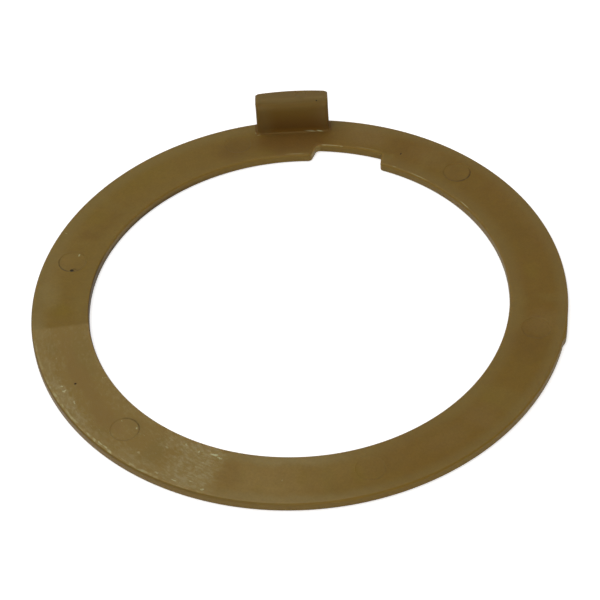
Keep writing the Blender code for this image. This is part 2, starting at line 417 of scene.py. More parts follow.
@dataclass(frozen=True)
class Lug:
    """The block that stands on the rim. Its back is flush with the rim and its front is flat."""

    rim_radius: float
    ring_top: float
    rim_round: float
    angle: float = 105.24
    width: float = 13.04
    thickness: float = 3.5
    rise: float = 6.95
    corner_radius: float = 0.8
    front_round: float = 1.8
    side_round: float = 0.4
    back_round: float = 0.2
    top_corner: float = 0.22
    corner_reach: float = 0.55
    left_fillet: float = 0.26
    right_fillet: float = 0.34
    corner_steps: int = 8
    round_steps: int = 16
    front_step: float = 0.25
    wall_step: float = 0.35
    mark_across: float = -1.7
    mark_out: float = 43.6
    mark_radius: float = 1.0
    mark_depth: float = 0.05
    mark_lip: float = 0.012
    mark_clearance: float = 0.1

    @property
    def half(self) -> float:
        """Half the lug's width."""
        return self.width / 2

    @property
    def half_angle(self) -> float:
        """Half the angle that the lug takes of the rim."""
        return math.degrees(math.asin(self.half / self.rim_radius))

    @property
    def front(self) -> float:
        """How far the front stands from the axis."""
        return self.rim_radius - self.thickness

    @property
    def top(self) -> float:
        """The height of the lug's top."""
        return self.ring_top + self.rise

    @property
    def mark(self) -> PinMark:
        """The small ejector mark on the lug's top."""
        centre = self.place(self.mark_across, self.mark_out)
        return PinMark(centre, self.mark_radius, self.mark_depth, self.mark_lip)

    def place(self, across: float, out: float) -> Vector:
        """A point by its distance across the lug, to the left, and out from the axis."""
        return direction(self.angle) * out + direction(self.angle + QUARTER_TURN) * across

    def corner_out(self) -> float:
        """How far out the lug's sides meet the rim's rounded edge."""
        return self._on_circle(self.half, self.rim_radius - self.rim_round)

    def near(self, point: Vector, room: float) -> bool:
        """Whether a point of the ring's face lies under the lug or closer to it than some room.

        Args:
            point: the point, in millimetres.
            room: how much room it needs.

        Returns:
            True there.
        """
        across = point.xy.dot(direction(self.angle + QUARTER_TURN))
        out = point.xy.dot(direction(self.angle))
        return abs(across) < self.half + room and out > self.front - room

    def build(self, shell: Shell, rim: list[Vector], back: Row,
              corners: tuple[bmesh.types.BMVert, ...]) -> Row:
        """Raise the lug on the ring.

        Args:
            shell: the skin that it joins.
            rim: the rim's points behind the lug, from right to left.
            back: the vertices at the top of the rim's wall there.
            corners: the left and right vertices where the sides meet the rim's rounded edge.

        Returns:
            The vertices of its foot between the two corners, from left to right.
        """
        left_corner, right_corner = corners
        front = self._front()
        toes = shell.row(at_height(foot + flare * self._fillet(foot), self.ring_top)
                         for foot, _, _, flare in front[1:-1])
        lower = back + [left_corner] + toes + [right_corner]
        for level in self._levels(self._back(rim) + front):
            upper = shell.row(level)
            shell.strip(lower, upper)
            lower = upper
        shell.fill(lower, [], self._top_points([vertex.co.xy / MM for vertex in lower]))
        return toes

    @staticmethod
    def _on_circle(across: float, radius: float) -> float:
        """How far out a circle about the axis lies at a distance across the lug."""
        return math.sqrt(radius ** 2 - across ** 2)

    def _fillet(self, foot: Vector) -> float:
        """The radius of the fillet at a point of the foot, which grows from left to right."""
        across = foot.dot(direction(self.angle + QUARTER_TURN))
        return self.left_fillet + (self.right_fillet - self.left_fillet) * smooth(0.5 - across / self.width)

    def _back(self, rim: list[Vector]) -> list[Column]:
        """The columns along the rim: foot, top, how far the edge drops, and no flare.

        Args:
            rim: the rim's points.

        Returns:
            The columns, from right to left.
        """
        top_half = self.half - self.side_round
        columns = []
        for point in rim:
            foot_across = point.dot(direction(self.angle + QUARTER_TURN))
            nearness = self._nearness(self.half - abs(foot_across))
            across = foot_across * top_half / self.half * (1 - nearness * self.top_corner / self.half)
            top = self.place(across, self._on_circle(across, self.rim_radius - self.back_round)
                             - nearness * self.top_corner)
            drop = self.back_round + (self.side_round + self.top_corner - self.back_round) * nearness
            columns.append((point, top, drop, Vector((0, 0))))
        return columns

    def _nearness(self, distance: float) -> float:
        """How close, from 0 to 1, a distance is to one of the top's two rounded back corners."""
        return smooth(1 - distance / self.corner_reach)

    def _front(self) -> list[Column]:
        """The columns round the left side, front and right side: foot, top, drop and the foot's flare.

        Returns:
            The columns, from left to right.
        """
        top_half = self.half - self.side_round
        side_start = self.corner_out()
        side_end = self.front + self.corner_radius
        top_corner = min(self.corner_radius, self.side_round)
        top_start = self._on_circle(top_half, self.rim_radius - self.rim_round)
        top_end = self.front + self.front_round + top_corner
        foot_outs = spread(side_start, side_end, self.front_step)[:-1]
        columns = []
        for index, out in enumerate(foot_outs):
            nearness = self._nearness(side_start - out)
            inset = nearness * self.top_corner
            top_out = top_start - inset + (top_end - top_start + inset) * index / len(foot_outs)
            flare = Vector((min(1, index), 0))
            top = Vector((top_half * (1 - inset / self.half), top_out))
            columns.append((Vector((self.half, out)), top, self.side_round + inset, flare))
        for index in range(self.corner_steps + 1):
            share = index / self.corner_steps
            spoke = direction(-QUARTER_TURN * share)
            foot = Vector((self.half - self.corner_radius, side_end)) + spoke * self.corner_radius
            top = Vector((top_half - top_corner, top_end)) + spoke * top_corner
            drop = self.side_round + (self.front_round - self.side_round) * share
            columns.append((foot, top, drop, spoke))
        foot_edge, top_edge = columns[-1][0].x, columns[-1][1].x
        facing = Vector((0, -1))
        middle = []
        for share in spread(1, -1, self.front_step / foot_edge)[1:-1]:
            foot = Vector((foot_edge * share, self.front))
            top = Vector((top_edge * share, self.front + self.front_round))
            middle.append((foot, top, self.front_round, facing))
        right = [(self._mirror(foot), self._mirror(top), drop, self._mirror(flare))
                 for foot, top, drop, flare in reversed(columns)]
        return [(self.place(*foot), self.place(*top), drop, self.place(*flare))
                for foot, top, drop, flare in columns + middle + right]

    @staticmethod
    def _mirror(point: Vector) -> Vector:
        """A vector of the lug's own plane, mirrored across the lug's middle."""
        return Vector((-point.x, point.y))

    def _levels(self, columns: list[Column]) -> list[list[Vector]]:
        """The loops above the foot: up the fillet, up the walls, then over the rounded top edge.

        Args:
            columns: each column's foot, top, drop and flare.

        Returns:
            The loops, from the lowest up.
        """
        levels = []
        for index in range(1, self.corner_steps + 1):
            turn = math.radians(QUARTER_TURN * index / self.corner_steps)
            reach, height = 1 - math.sin(turn), 1 - math.cos(turn)
            levels.append([at_height(foot + flare * self._fillet(foot) * reach,
                                     self.ring_top + self._fillet(foot) * height)
                           for foot, _, _, flare in columns])
        for share in spread(0, 1, self.wall_step / self.rise)[1:-1]:
            levels.append([at_height(foot, self._wall_height(foot, drop, share))
                           for foot, _, drop, _ in columns])
        for index in range(self.round_steps + 1):
            turn = math.radians(QUARTER_TURN * index / self.round_steps)
            reach, fall = math.cos(turn), 1 - math.sin(turn)
            levels.append([at_height(top + (foot - top) * reach, self.top - drop * fall)
                           for foot, top, drop, _ in columns])
        return levels

    def _wall_height(self, foot: Vector, drop: float, share: float) -> float:
        """The height at a share of the way up the wall, from the fillet to the rounded top edge."""
        wall_foot = self.ring_top + self._fillet(foot)
        return wall_foot + (self.top - drop - wall_foot) * share

    def _top_points(self, loop: list[Vector]) -> list[Vector]:
        """Points of the mark that lie well inside the loop round the flat top.

        Args:
            loop: the loop round the flat top.

        Returns:
            The points.
        """
        return [at_height(point, self.top) for point in self.mark.points()
                if min((point - corner).length for corner in loop) > self.mark_clearance
                and self.front + self.front_round < point.dot(direction(self.angle))
                and point.length < self.rim_radius - self.back_round]

    def rise_at(self, point: Vector) -> float:
        """How far the mark lifts the lug's top at a point."""
        return self.mark.rise(point) if point.z > self.top - self.front_round else 0.0


@dataclass(frozen=True)
class Ring:
    """The flat ring: its bore, its rim and both faces."""

    bore_radius: float = 35.3
    band_width: float = 9.7
    thickness: float = 1.65
    top_round: float = 0.4
    bottom_round: float = 0.2
    top_steps: int = 6
    bottom_steps: int = 3
    step: float = 0.6
    face_step: float = 1.1
    sway: float = 0.012
    sway_grain: float = 0.09
    sag: float = 0.02

    @property
    def rim_radius(self) -> float:
        """The rim's radius."""
        return self.bore_radius + self.band_width

    def edge_levels(self) -> list[tuple[float, float]]:
        """Each loop of a wall from the bottom face to the top one: how far in, and how high.

        Returns:
            The pairs, from the bottom up.
        """
        levels = []
        for index in range(self.bottom_steps + 1):
            turn = math.radians(QUARTER_TURN * index / self.bottom_steps)
            levels.append((self.bottom_round * (1 - math.sin(turn)),
                           self.bottom_round * (1 - math.cos(turn))))
        for index in range(self.top_steps + 1):
            turn = math.radians(QUARTER_TURN * index / self.top_steps)
            levels.append((self.top_round * (1 - math.cos(turn)),
                           self.thickness - self.top_round * (1 - math.sin(turn))))
        return levels

    def face_points(self) -> list[Vector]:
        """Points spread over the band on circles, each turned a little against the last.

        Returns:
            The points.
        """
        points = []
        radii = spread(self.bore_radius + self.top_round, self.rim_radius - self.top_round, self.face_step)
        for index, radius in enumerate(radii[1:-1]):
            count = round(2 * math.pi * radius / self.face_step)
            points += [direction(FULL_TURN * (turn + index / 2) / count) * radius for turn in range(count)]
        return points

    def rise_at(self, point: Vector) -> float:
        """How far the moulding's slow waves and the sunk middle of the band move the upper face.

        Args:
            point: the point, in millimetres.

        Returns:
            The lift.
        """
        wave = noise.noise(Vector((point.x, point.y, 0)) * self.sway_grain) * self.sway
        share = (point.xy.length - self.bore_radius) / self.band_width
        sink = self.sag * math.sin(math.pi * min(1.0, max(0.0, share)))
        return (wave - sink) * min(1.0, max(0.0, point.z / self.thickness))


@dataclass(frozen=True)
class ThrustWasher:
    """The whole moulding, made as one closed body."""

    ring: Ring = field(default_factory=Ring)
    notch: KeyNotch = field(default_factory=KeyNotch)
    gate: GateStub = field(default_factory=GateStub)
    pin_diameter: float = 4.7
    pin_depth: float = 0.06
    pin_lip: float = 0.02
    pin_shift: tuple[float, float] = (0.06, 0.35)
    pin_shares: tuple[float, ...] = (0.35, 0.8, 0.9, 0.4, 0.45, 0.55)
    mark_room: float = 0.45
    edge_room: float = 0.65
    sharp_angle: float = 50.0
    name: str = "thrust_washer_detail"

    @property
    def lug(self) -> Lug:
        """The lug, on this ring."""
        return Lug(self.ring.rim_radius, self.ring.thickness, self.ring.top_round)

    def marks(self) -> list[PinMark]:
        """The ejector pins' marks, evenly about the notch, on a circle that sits a little off the axis.

        Returns:
            The marks, in order of angle.
        """
        middle = self.ring.bore_radius + self.ring.band_width / 2
        pitch = FULL_TURN / len(self.pin_shares)
        return [PinMark(direction(self.notch.angle + pitch * (index + 0.5)) * middle + Vector(self.pin_shift),
                        self.pin_diameter / 2, self.pin_depth * share, self.pin_lip * share)
                for index, share in enumerate(self.pin_shares)]

    def build(self) -> bpy.types.Object:
        """Make the moulding's mesh.

        Returns:
            The piece.
        """
        shell = Shell()
        lug = self.lug
        bottom_bore, top_bore = self._bore(shell)
        angles, back_count = self._rim_angles(lug)
        rim = [direction(angle) * (self.ring.rim_radius + self.gate.reach(angle)) for angle in angles]
        bottom_rim, high_rim, top_row = self._rim(shell, angles, rim, back_count, lug)
        toes = lug.build(shell, rim[:back_count], high_rim[:back_count], (top_row[0], top_row[-1]))
        loose = self._loose_points(lug)
        shell.fill(top_row + toes[::-1], [top_bore],
                   [at_height(point, self.ring.thickness) for point in loose])
        shell.fill(bottom_rim, [bottom_bore], [at_height(point, 0) for point in self.ring.face_points()
                                               if not self._by_the_notch(point)])
        marks = self.marks()
        shell.lift(lambda point: self._rise(point, marks, lug))
        return shell.piece(self.name, self.sharp_angle)

    def _bore(self, shell: Shell) -> tuple[Row, Row]:
        """The bore's wall with its notch. It returns the loops on the bottom and top faces.

        Args:
            shell: the skin that it joins.

        Returns:
            The loops on the bottom and top faces.
        """
        outline = self.notch.outline(self.ring.bore_radius)
        start = angle_of(outline[-1].place)
        end = angle_of(outline[0].place) + FULL_TURN
        outline += [EdgePoint(direction(angle) * self.ring.bore_radius, direction(angle))
                    for angle in spread(start, end, self.ring.step)[1:-1]]
        loops = [shell.row(at_height(point.inset(depth), height) for point in outline)
                 for depth, height in self.ring.edge_levels()]
        for lower, upper in zip(loops, loops[1:]):
            shell.strip(lower, upper)
        return loops[0], loops[-1]

    def _rim_angles(self, lug: Lug) -> tuple[list[float], int]:
        """The rim's angles from the lug's right edge round, and how many of them lie behind the lug.

        Args:
            lug: the lug.

        Returns:
            The angles, and that count.
        """
        back = spread(lug.angle - lug.half_angle, lug.angle + lug.half_angle, self.ring.step)
        fine = [angle + FULL_TURN for angle in self.gate.angles()]
        before = spread(back[-1], fine[0], self.ring.step)[1:-1]
        after = spread(fine[-1], back[0] + FULL_TURN, self.ring.step)[1:-1]
        return back + before + fine + after, len(back)

    def _rim(self, shell: Shell, angles: list[float], rim: list[Vector], back_count: int,
             lug: Lug) -> tuple[Row, Row, Row]:
        """The rim's wall, apart from its rounded top edge under the lug.

        It returns the loop on the bottom face, the one at the top of the wall, and the row along the
        top face from the lug's left corner round to its right corner.

        Args:
            shell: the skin that it joins.
            angles: the rim's angles.
            rim: the rim's points.
            back_count: how many of them lie behind the lug.
            lug: the lug.

        Returns:
            The three rows of vertices.
        """
        levels = self.ring.edge_levels()
        wall_count = len(levels) - self.ring.top_steps
        loops = []
        for depth, height in levels[:wall_count]:
            loops.append(shell.row(self._rim_point(angle, point, depth, height)
                                   for angle, point in zip(angles, rim)))
        for lower, upper in zip(loops, loops[1:]):
            shell.strip(lower, upper)
        high = loops[-1]
        lower = high[back_count - 1:] + high[:1]
        ends = [[lower[0]], [lower[-1]]]
        for depth, height in levels[wall_count:]:
            share = depth / self.ring.top_round
            left = self._side_point(rim[back_count - 1], lug.place(lug.half, lug.corner_out()), share, height)
            right = self._side_point(rim[0], lug.place(-lug.half, lug.corner_out()), share, height)
            middle = [self._rim_point(angle, point, depth, height)
                      for angle, point in zip(angles[back_count:], rim[back_count:])]
            upper = shell.row([left, *middle, right])
            shell.strip(lower, upper, closed=False)
            ends[0].append(upper[0])
            ends[1].append(upper[-1])
            lower = upper
        for end in ends:
            shell.mesh.faces.new(end)
        return loops[0], high, lower

    def _rim_point(self, angle: float, point: Vector, depth: float, height: float) -> Vector:
        """A point of the rim's wall, pulled in by its rounded edge and by the torn gate."""
        inward = depth + self.gate.torn(angle, height)
        return at_height(point - point.normalized() * inward, height)

    @staticmethod
    def _side_point(start: Vector, end: Vector, share: float, height: float) -> Vector:
        """A point on the short edge from the rim's wall to where the lug's side starts."""
        return at_height(start.lerp(end, share), height)

    def _by_the_notch(self, point: Vector) -> bool:
        """Whether a point lies in the notch or close to its walls.

        Args:
            point: the point, in millimetres.

        Returns:
            True there.
        """
        across = abs(point.dot(direction(self.notch.angle - QUARTER_TURN)))
        out = point.dot(direction(self.notch.angle))
        floor = self.ring.bore_radius + self.notch.depth + self.edge_room
        return out > 0 and across < self.notch.width / 2 + self.mark_room * 2 and point.length < floor

    def _loose_points(self, lug: Lug) -> list[Vector]:
        """The points inside the upper face: those of the marks, and a spread clear of all edges.

        Args:
            lug: the lug.

        Returns:
            The points.
        """
        marks = self.marks()
        points = [point for mark in marks for point in mark.points()
                  if not lug.near(point, self.edge_room * 2)]
        for point in self.ring.face_points():
            if self._by_the_notch(point) or lug.near(point, self.edge_room * 2):
                continue
            if not any(mark.holds(point, self.mark_room) for mark in marks):
                points.append(point)
        return points

    def _rise(self, point: Vector, marks: list[PinMark], lug: Lug) -> float:
        """How far a point of the finished skin is moved up by the face's relief and the marks.

        Args:
            point: the point, in millimetres.
            marks: the ejector marks.
            lug: the lug.

        Returns:
            The lift.
        """
        rise = self.ring.rise_at(point) + lug.rise_at(point)
        if abs(point.z - self.ring.thickness) < SAME_POINT:
            rise += sum(mark.rise(point) for mark in marks)
        return rise


class Maths(Enum):
    """The operations of Math and Vector Math nodes that the finishes use."""

    ADD = "ADD"
    SUBTRACT = "SUBTRACT"
    MULTIPLY = "MULTIPLY"
    MULTIPLY_ADD = "MULTIPLY_ADD"
    MAXIMUM = "MAXIMUM"
    ABSOLUTE = "ABSOLUTE"
    ARCTAN2 = "ARCTAN2"
    SCALE = "SCALE"
    LENGTH = "LENGTH"
    DISTANCE = "DISTANCE"
    DOT_PRODUCT = "DOT_PRODUCT"


class Ray(Enum):
    """The kinds of ray that a finish tells apart."""

    CAMERA = "Is Camera Ray"
    GLOSSY = "Is Glossy Ray"
    TRANSMISSION = "Is Transmission Ray"


class Signal:
    """A shader socket that carries a number, with Python's operators as Math nodes."""

    def __init__(self, graph: "Graph", socket: bpy.types.NodeSocket) -> None:
        """Wrap a socket of a graph."""
        self.graph = graph
        self.socket = socket

    def _math(self, operation: Maths, *values: "Signal | float") -> "Signal":
        """A Math node on some values."""
        return self.graph.add("ShaderNodeMath", {"operation": operation.value}, dict(enumerate(values)))

    def __add__(self, other: "Signal | float") -> "Signal":
        """The sum."""
        return self._math(Maths.ADD, self, other)

    def __radd__(self, other: float) -> "Signal":
        """The sum, reflected."""
        return self._math(Maths.ADD, other, self)

    def __sub__(self, other: "Signal | float") -> "Signal":
        """The difference."""
        return self._math(Maths.SUBTRACT, self, other)

    def __rsub__(self, other: float) -> "Signal":
        """The difference, reflected."""
        return self._math(Maths.SUBTRACT, other, self)

    def __mul__(self, other: "Signal | float") -> "Signal":
        """The product."""
        return self._math(Maths.MULTIPLY, self, other)

    def __rmul__(self, other: float) -> "Signal":
        """The product, reflected."""
        return self._math(Maths.MULTIPLY, other, self)

    def __abs__(self) -> "Signal":
        """The size without the sign."""
        return self._math(Maths.ABSOLUTE, self)

    def most(self, other: "Signal | float") -> "Signal":
        """The larger of two."""
        return self._math(Maths.MAXIMUM, self, other)

    def bearing(self, along: "Signal") -> "Signal":
        """The angle, in degrees, of a point that lies this far across and so far along."""
        return self._math(Maths.ARCTAN2, self, along) * math.degrees(1.0)

    def clamped(self) -> "Signal":
        """The value kept between 0 and 1."""
        return self.graph.add("ShaderNodeClamp", None, {"Value": self})

    def ramp(self, low: float, high: float, to_low: float = 0.0, to_high: float = 1.0) -> "Signal":
        """A soft ramp.

        Args:
            low: the value that gives to_low.
            high: the value that gives to_high.
            to_low: what low turns into.
            to_high: what high turns into.

        Returns:
            The ramped value, level beyond both ends.
        """
        sockets = {"Value": self, "From Min": low, "From Max": high, "To Min": to_low, "To Max": to_high}
        return self.graph.add("ShaderNodeMapRange", {"interpolation_type": "SMOOTHSTEP"}, sockets)


class Graph:
    """A node tree that grows by one call for each node."""

    def __init__(self, tree: bpy.types.NodeTree) -> None:
        """Start an empty tree."""
        self.tree = tree
        tree.nodes.clear()

    def add(self, kind: str, settings: dict | None = None, sockets: dict | None = None,
            output: int | str = 0) -> Signal:
        """Add a node.

        Args:
            kind: the node's type.
            settings: its settings, which are set first.
            sockets: a value or a link for each input, by its name or number.
            output: the output that is wanted, by its name or number.

        Returns:
            That output.
        """
        node = self.tree.nodes.new(kind)
        for name, value in (settings or {}).items():
            setattr(node, name, value)
        for key, value in (sockets or {}).items():
            if isinstance(value, Signal):
                self.tree.links.new(value.socket, node.inputs[key])
            else:
                node.inputs[key].default_value = value
        if not node.outputs:
            return Signal(self, None)
        return Signal(self, node.outputs[output])

    def vector(self, operation: Maths, first: Signal | Colour, second: Signal | Colour | None = None,
               third: Colour | None = None, scale: Signal | float | None = None,
               output: str = "Vector") -> Signal:
        """Add a Vector Math node.

        Args:
            operation: what it does.
            first: its first vector.
            second: its second vector, if it has one.
            third: its third vector, if it has one.
            scale: its factor, if it has one.
            output: Vector, or Value where the result is a number.

        Returns:
            The result.
        """
        sockets: dict = {0: first}
        if second is not None:
            sockets[1] = second
        if third is not None:
            sockets[2] = third
        if scale is not None:
            sockets["Scale"] = scale
        return self.add("ShaderNodeVectorMath", {"operation": operation.value}, sockets, output)

    def length(self, vector: Signal) -> Signal:
        """A vector's length."""
        return self.vector(Maths.LENGTH, vector, output="Value")

    def along(self, vector: Signal, angle: float) -> Signal:
        """How far a vector reaches in a direction of the ring's plane."""
        return self.vector(Maths.DOT_PRODUCT, vector, tuple(direction(angle).to_3d()), output="Value")

    def mix(self, factor: Signal | float, first: Signal | Colour, second: Signal | Colour) -> Signal:
        """Add a Mix node on colours.

        Args:
            factor: how much of the second colour is taken.
            first: the colour at 0.
            second: the colour at 1.

        Returns:
            The mixed colour.
        """
        first, second = ((*colour, 1.0) if isinstance(colour, tuple) else colour
                         for colour in (first, second))
        return self.add("ShaderNodeMix", {"data_type": "RGBA"}, {0: factor, 6: first, 7: second}, 2)

    def join(self, x: Signal | float, y: Signal | float, z: Signal | float) -> Signal:
        """A vector from three numbers."""
        return self.add("ShaderNodeCombineXYZ", None, {0: x, 1: y, 2: z})

    def split(self, vector: Signal) -> tuple[Signal, Signal, Signal]:
        """The three numbers of a vector."""
        node = self.add("ShaderNodeSeparateXYZ", None, {0: vector})
        return self.named(node, "X"), self.named(node, "Y"), self.named(node, "Z")

    def named(self, signal: Signal, output: str) -> Signal:
        """Another output of the node that a signal comes from."""
        return Signal(self, signal.socket.node.outputs[output])

    def polar(self, flat: Signal, start: float) -> Signal:
        """The angle past a start, from -180 to 180 degrees, and the distance from the axis.

        Args:
            flat: the point in the ring's plane.
            start: the direction that counts as 0 degrees.

        Returns:
            The two as a vector.
        """
        angle = self.along(flat, start + QUARTER_TURN).bearing(self.along(flat, start))
        return self.join(angle, self.length(flat), 0.0)


@dataclass(frozen=True)
class Fade:
    """A soft ramp between two values, which may count from an origin."""

    start: float
    end: float
    low: float = 0.0
    high: float = 1.0

    def at(self, value: Signal, origin: float = 0.0) -> Signal:
        """The ramp at a value."""
        return value.ramp(origin + self.start, origin + self.end, self.low, self.high)


@dataclass(frozen=True)
class Grain:
    """Noise with so many waves to a unit, finer layers and their strength, and how it is ramped."""

    scale: float
    detail: float = 2.0
    roughness: float = 0.5
    span: Fade = Fade(0.0, 1.0)

    def noise(self, graph: Graph, place: Signal) -> Signal:
        """The plain noise, about its middle."""
        sockets = {"Vector": place, "Scale": self.scale, "Detail": self.detail, "Roughness": self.roughness}
        return graph.add("ShaderNodeTexNoise", {"noise_dimensions": "3D"}, sockets)

    def swing(self, graph: Graph, place: Signal, reach: float) -> Signal:
        """The noise about 0, this far between its ends."""
        return (self.noise(graph, place) - NOISE_MIDDLE) * reach

    def at(self, graph: Graph, place: Signal) -> Signal:
        """The ramped noise."""
        return self.span.at(self.noise(graph, place))

    def moved(self, graph: Graph, place: Signal, reach: float) -> Signal:
        """A place, moved about by the noise.

        Args:
            graph: the node tree.
            place: the place.
            reach: how far apart the ends of its wandering are.

        Returns:
            The new place.
        """
        noise = graph.named(self.noise(graph, place), "Color")
        wander = graph.vector(Maths.SUBTRACT, noise, (NOISE_MIDDLE,) * 3)
        return graph.vector(Maths.ADD, place, graph.vector(Maths.SCALE, wander, scale=reach))


@dataclass(frozen=True)
class Spot:
    """A round or drawn-out place on the band, by its angle and radius. Long runs outwards, in millimetres."""

    angle: float
    radius: float
    long: float
    wide: float
    strength: float = 1.0

    def mask(self, graph: Graph, polar: Signal, start: float, soft: float) -> Signal:
        """How much of a point lies in the spot.

        Args:
            graph: the node tree.
            polar: the point's angle and distance from the axis.
            start: the direction that counts as 0 degrees there.
            soft: the share of the spot's reach over which it fades.

        Returns:
            The spot's strength inside, and 0 outside.
        """
        angle = turn_between(start, self.angle)
        scale = (1 / math.degrees(self.wide / 2 / self.radius), 2 / self.long, 0.0)
        shift = (-angle * scale[0], -self.radius * scale[1], 0.0)
        inner = graph.vector(Maths.MULTIPLY_ADD, polar, scale, shift)
        return graph.length(inner).ramp(1.0, 1.0 - soft, 0.0, self.strength)


@dataclass(frozen=True)
class Patches:
    """Spots of one kind, and the share of their reach over which they fade."""

    soft: float
    spots: tuple[Spot, ...]

    def mask(self, graph: Graph, polar: Signal, start: float) -> Signal:
        """The spots' masks laid over each other.

        Args:
            graph: the node tree.
            polar: the point's angle and distance from the axis.
            start: the direction that counts as 0 degrees there.

        Returns:
            The strongest mask at the point.
        """
        total = self.spots[0].mask(graph, polar, start, self.soft)
        for spot in self.spots[1:]:
            total = total.most(spot.mask(graph, polar, start, self.soft))
        return total


@dataclass(frozen=True)
class Here:
    """What a finish knows at the point that is shaded. Lengths are in millimetres."""

    graph: Graph
    place: Signal
    flat: Signal
    height: Signal
    radius: Signal
    polar: Signal
    shifted: Signal
    face: Signal
    worn: Signal


@dataclass(frozen=True)
class MarkDirtAndShade:
    """The dark line round an ejector mark, dirt with painted shade in its crease: how strong it is, and on
    which side it is strongest.
    """

    index: int
    strength: float
    weak: float
    heavy_angle: float

    def mask(self, graph: Graph, flat: Signal, mark: PinMark, line: float) -> Signal:
        """How dark the line is at a point.

        Args:
            graph: the node tree.
            flat: the point in the ring's plane, in millimetres.
            mark: the ejector mark.
            line: half the line's width.

        Returns:
            The darkness, between 0 and 1.
        """
        spoke = graph.vector(Maths.SUBTRACT, flat, (mark.centre.x, mark.centre.y, 0.0))
        gap = abs(graph.length(spoke) - mark.radius)
        side = graph.along(spoke, self.heavy_angle)
        return gap.ramp(line, line * 0.3) * side.ramp(0.0, mark.radius, self.weak, self.strength)


@dataclass(frozen=True)
class WornSector:
    """The stretch of the upper face that is scuffed pale, between two radial edges."""

    start: float = -158.3
    end: float = -94.2
    start_blur: float = 0.35
    end_blur: float = 1.7
    wander: float = 1.6
    wobble: Grain = Grain(0.9, 3.0, 0.6)

    def mask(self, graph: Graph, flat: Signal) -> Signal:
        """How far a point lies in the sector.

        Args:
            graph: the node tree.
            flat: the point in the ring's plane, in millimetres.

        Returns:
            1 inside and 0 outside.
        """
        wobble = self.wobble.swing(graph, flat, self.wander)
        inside = []
        for angle, blur, sign in ((self.start, self.start_blur, 1.0), (self.end, self.end_blur, -1.0)):
            past = graph.along(flat, angle + QUARTER_TURN * sign)
            inside.append((past + wobble * blur).ramp(-blur, blur))
        return inside[0] * inside[1]


@dataclass(frozen=True)
class LugTones:
    """The lug's colour, deeper where its body is thick, with painted shade deeper and redder at its foot and
    on its rounded top edge, and painted sheen paler on its top and flanks.
    """

    umber: Colour = (0.105, 0.0495, 0.0080)
    toe: Colour = (0.140, 0.0680, 0.0090)
    ochre: Colour = (0.119, 0.0620, 0.0064)
    crown: Colour = (0.145, 0.0920, 0.0270)
    brow: Colour = (0.095, 0.0540, 0.0060)
    beside: Fade = Fade(0.5, 0.1)
    before: Fade = Fade(-0.35, -0.1)
    foot: Fade = Fade(-0.4, -0.1)
    toes: Fade = Fade(1.3, 0.5)
    wall: Fade = Fade(0.0, 0.3)
    ochre_foot: float = 1.4
    ochre_head: float = -1.2
    drift: Grain = Grain(0.3, 2.0)
    drift_reach: float = 0.6
    crown_drift: float = 0.3
    flank_shift: float = 0.6
    flanks: Fade = Fade(-3.4, -0.4, 0.0, 0.5)
    head: Fade = Fade(-1.0, -0.1)
    round_low: Fade = Fade(-0.6, -0.35, 0.0, 0.5)
    round_high: Fade = Fade(-0.03, -0.2)
    under_low: Fade = Fade(-2.0, -1.3)
    under_high: Fade = Fade(-0.7, -1.1)
    under_share: float = 0.22

    def lay(self, here: Here, colour: Signal, lug: Lug) -> Signal:
        """Lay the tones on the lug and at its foot, with painted light and shade among them.

        Args:
            here: what is known at the point.
            colour: the colour so far.
            lug: the lug, for its sizes.

        Returns:
            The colour.
        """
        graph, height = here.graph, here.height
        across, out = graph.along(here.place, lug.angle + QUARTER_TURN), graph.along(here.place, lug.angle)
        beside = self.beside.at(abs(across), lug.half) * self.before.at(out, lug.front)
        # Painted shade down the lug: deeper and redder on it and just before its foot, the toe tone right at
        # the bottom, and lighter through the ochre tone up the wall.
        colour = graph.mix(beside * self.foot.at(height, lug.ring_top), colour, self.umber)
        colour = graph.mix(beside * self.toes.at(height, lug.ring_top), colour, self.toe)
        drift = self.drift.swing(graph, here.place, self.drift_reach)
        wall = self.wall.at(height, lug.ring_top)
        rise = (height + drift).ramp(lug.ring_top + self.ochre_foot, lug.top + self.ochre_head)
        colour = graph.mix(rise * wall, colour, self.ochre)
        # Painted sheen: the crown tone on the lug's top and flanks.
        flanks = self.flanks.at(abs(across + self.flank_shift), lug.half)
        crowned = self.head.at(height + drift * self.crown_drift, lug.top).most(flanks * wall)
        colour = graph.mix(crowned, colour, self.crown)
        # Painted shade on the rounded top edge and a little under it.
        rounding = self.round_low.at(height, lug.top) * self.round_high.at(height, lug.top)
        under = self.under_low.at(height, lug.top) * self.under_high.at(height, lug.top) * self.under_share
        return graph.mix(rounding.most(under), colour, self.brow)


@dataclass(frozen=True)
class Skin:
    """The fine relief of the skin: grain and waves all over, and scuffs in the worn sector."""

    fine: Grain = Grain(3.0, 3.0, 0.6)
    fine_height: float = 0.4
    waves: Grain = Grain(0.5, 2.0)
    wave_height: float = 1.2
    scuffs: Grain = Grain(2.2, 5.0, 0.7)
    scuff_height: float = 1.6
    strength: float = 0.5
    reach: float = 0.00002

    def bend(self, here: Here) -> Signal:
        """The bent normal.

        Args:
            here: what is known at the point.

        Returns:
            The normal.
        """
        relief = self.fine.noise(here.graph, here.place) * self.fine_height
        relief = relief + self.waves.noise(here.graph, here.place) * self.wave_height
        relief = relief + self.scuffs.noise(here.graph, here.flat) * here.worn * self.scuff_height
        sockets = {"Strength": self.strength, "Distance": self.reach, "Height": relief}
        return here.graph.add("ShaderNodeBump", None, sockets)


@dataclass(frozen=True)
class WearAndSheenShares:
    """How strongly the painted sheen and each kind of wear count where several meet."""

    sheen_shift: float = 0.7
    sheen_loss: float = 0.6
    rubbing: float = 0.85
    blotches: float = 0.22
    streaks: float = 0.3
    scoured_streaks: float = 0.6
    threshold: float = 0.2
    margin: float = 0.3
    scoured: float = 0.4
    rosy_calm: float = 0.6
    rosy: float = 0.7
    mossy_streaks: float = 0.6
    scoured_flecks: float = 0.6
    rosy_flecks: float = 0.7


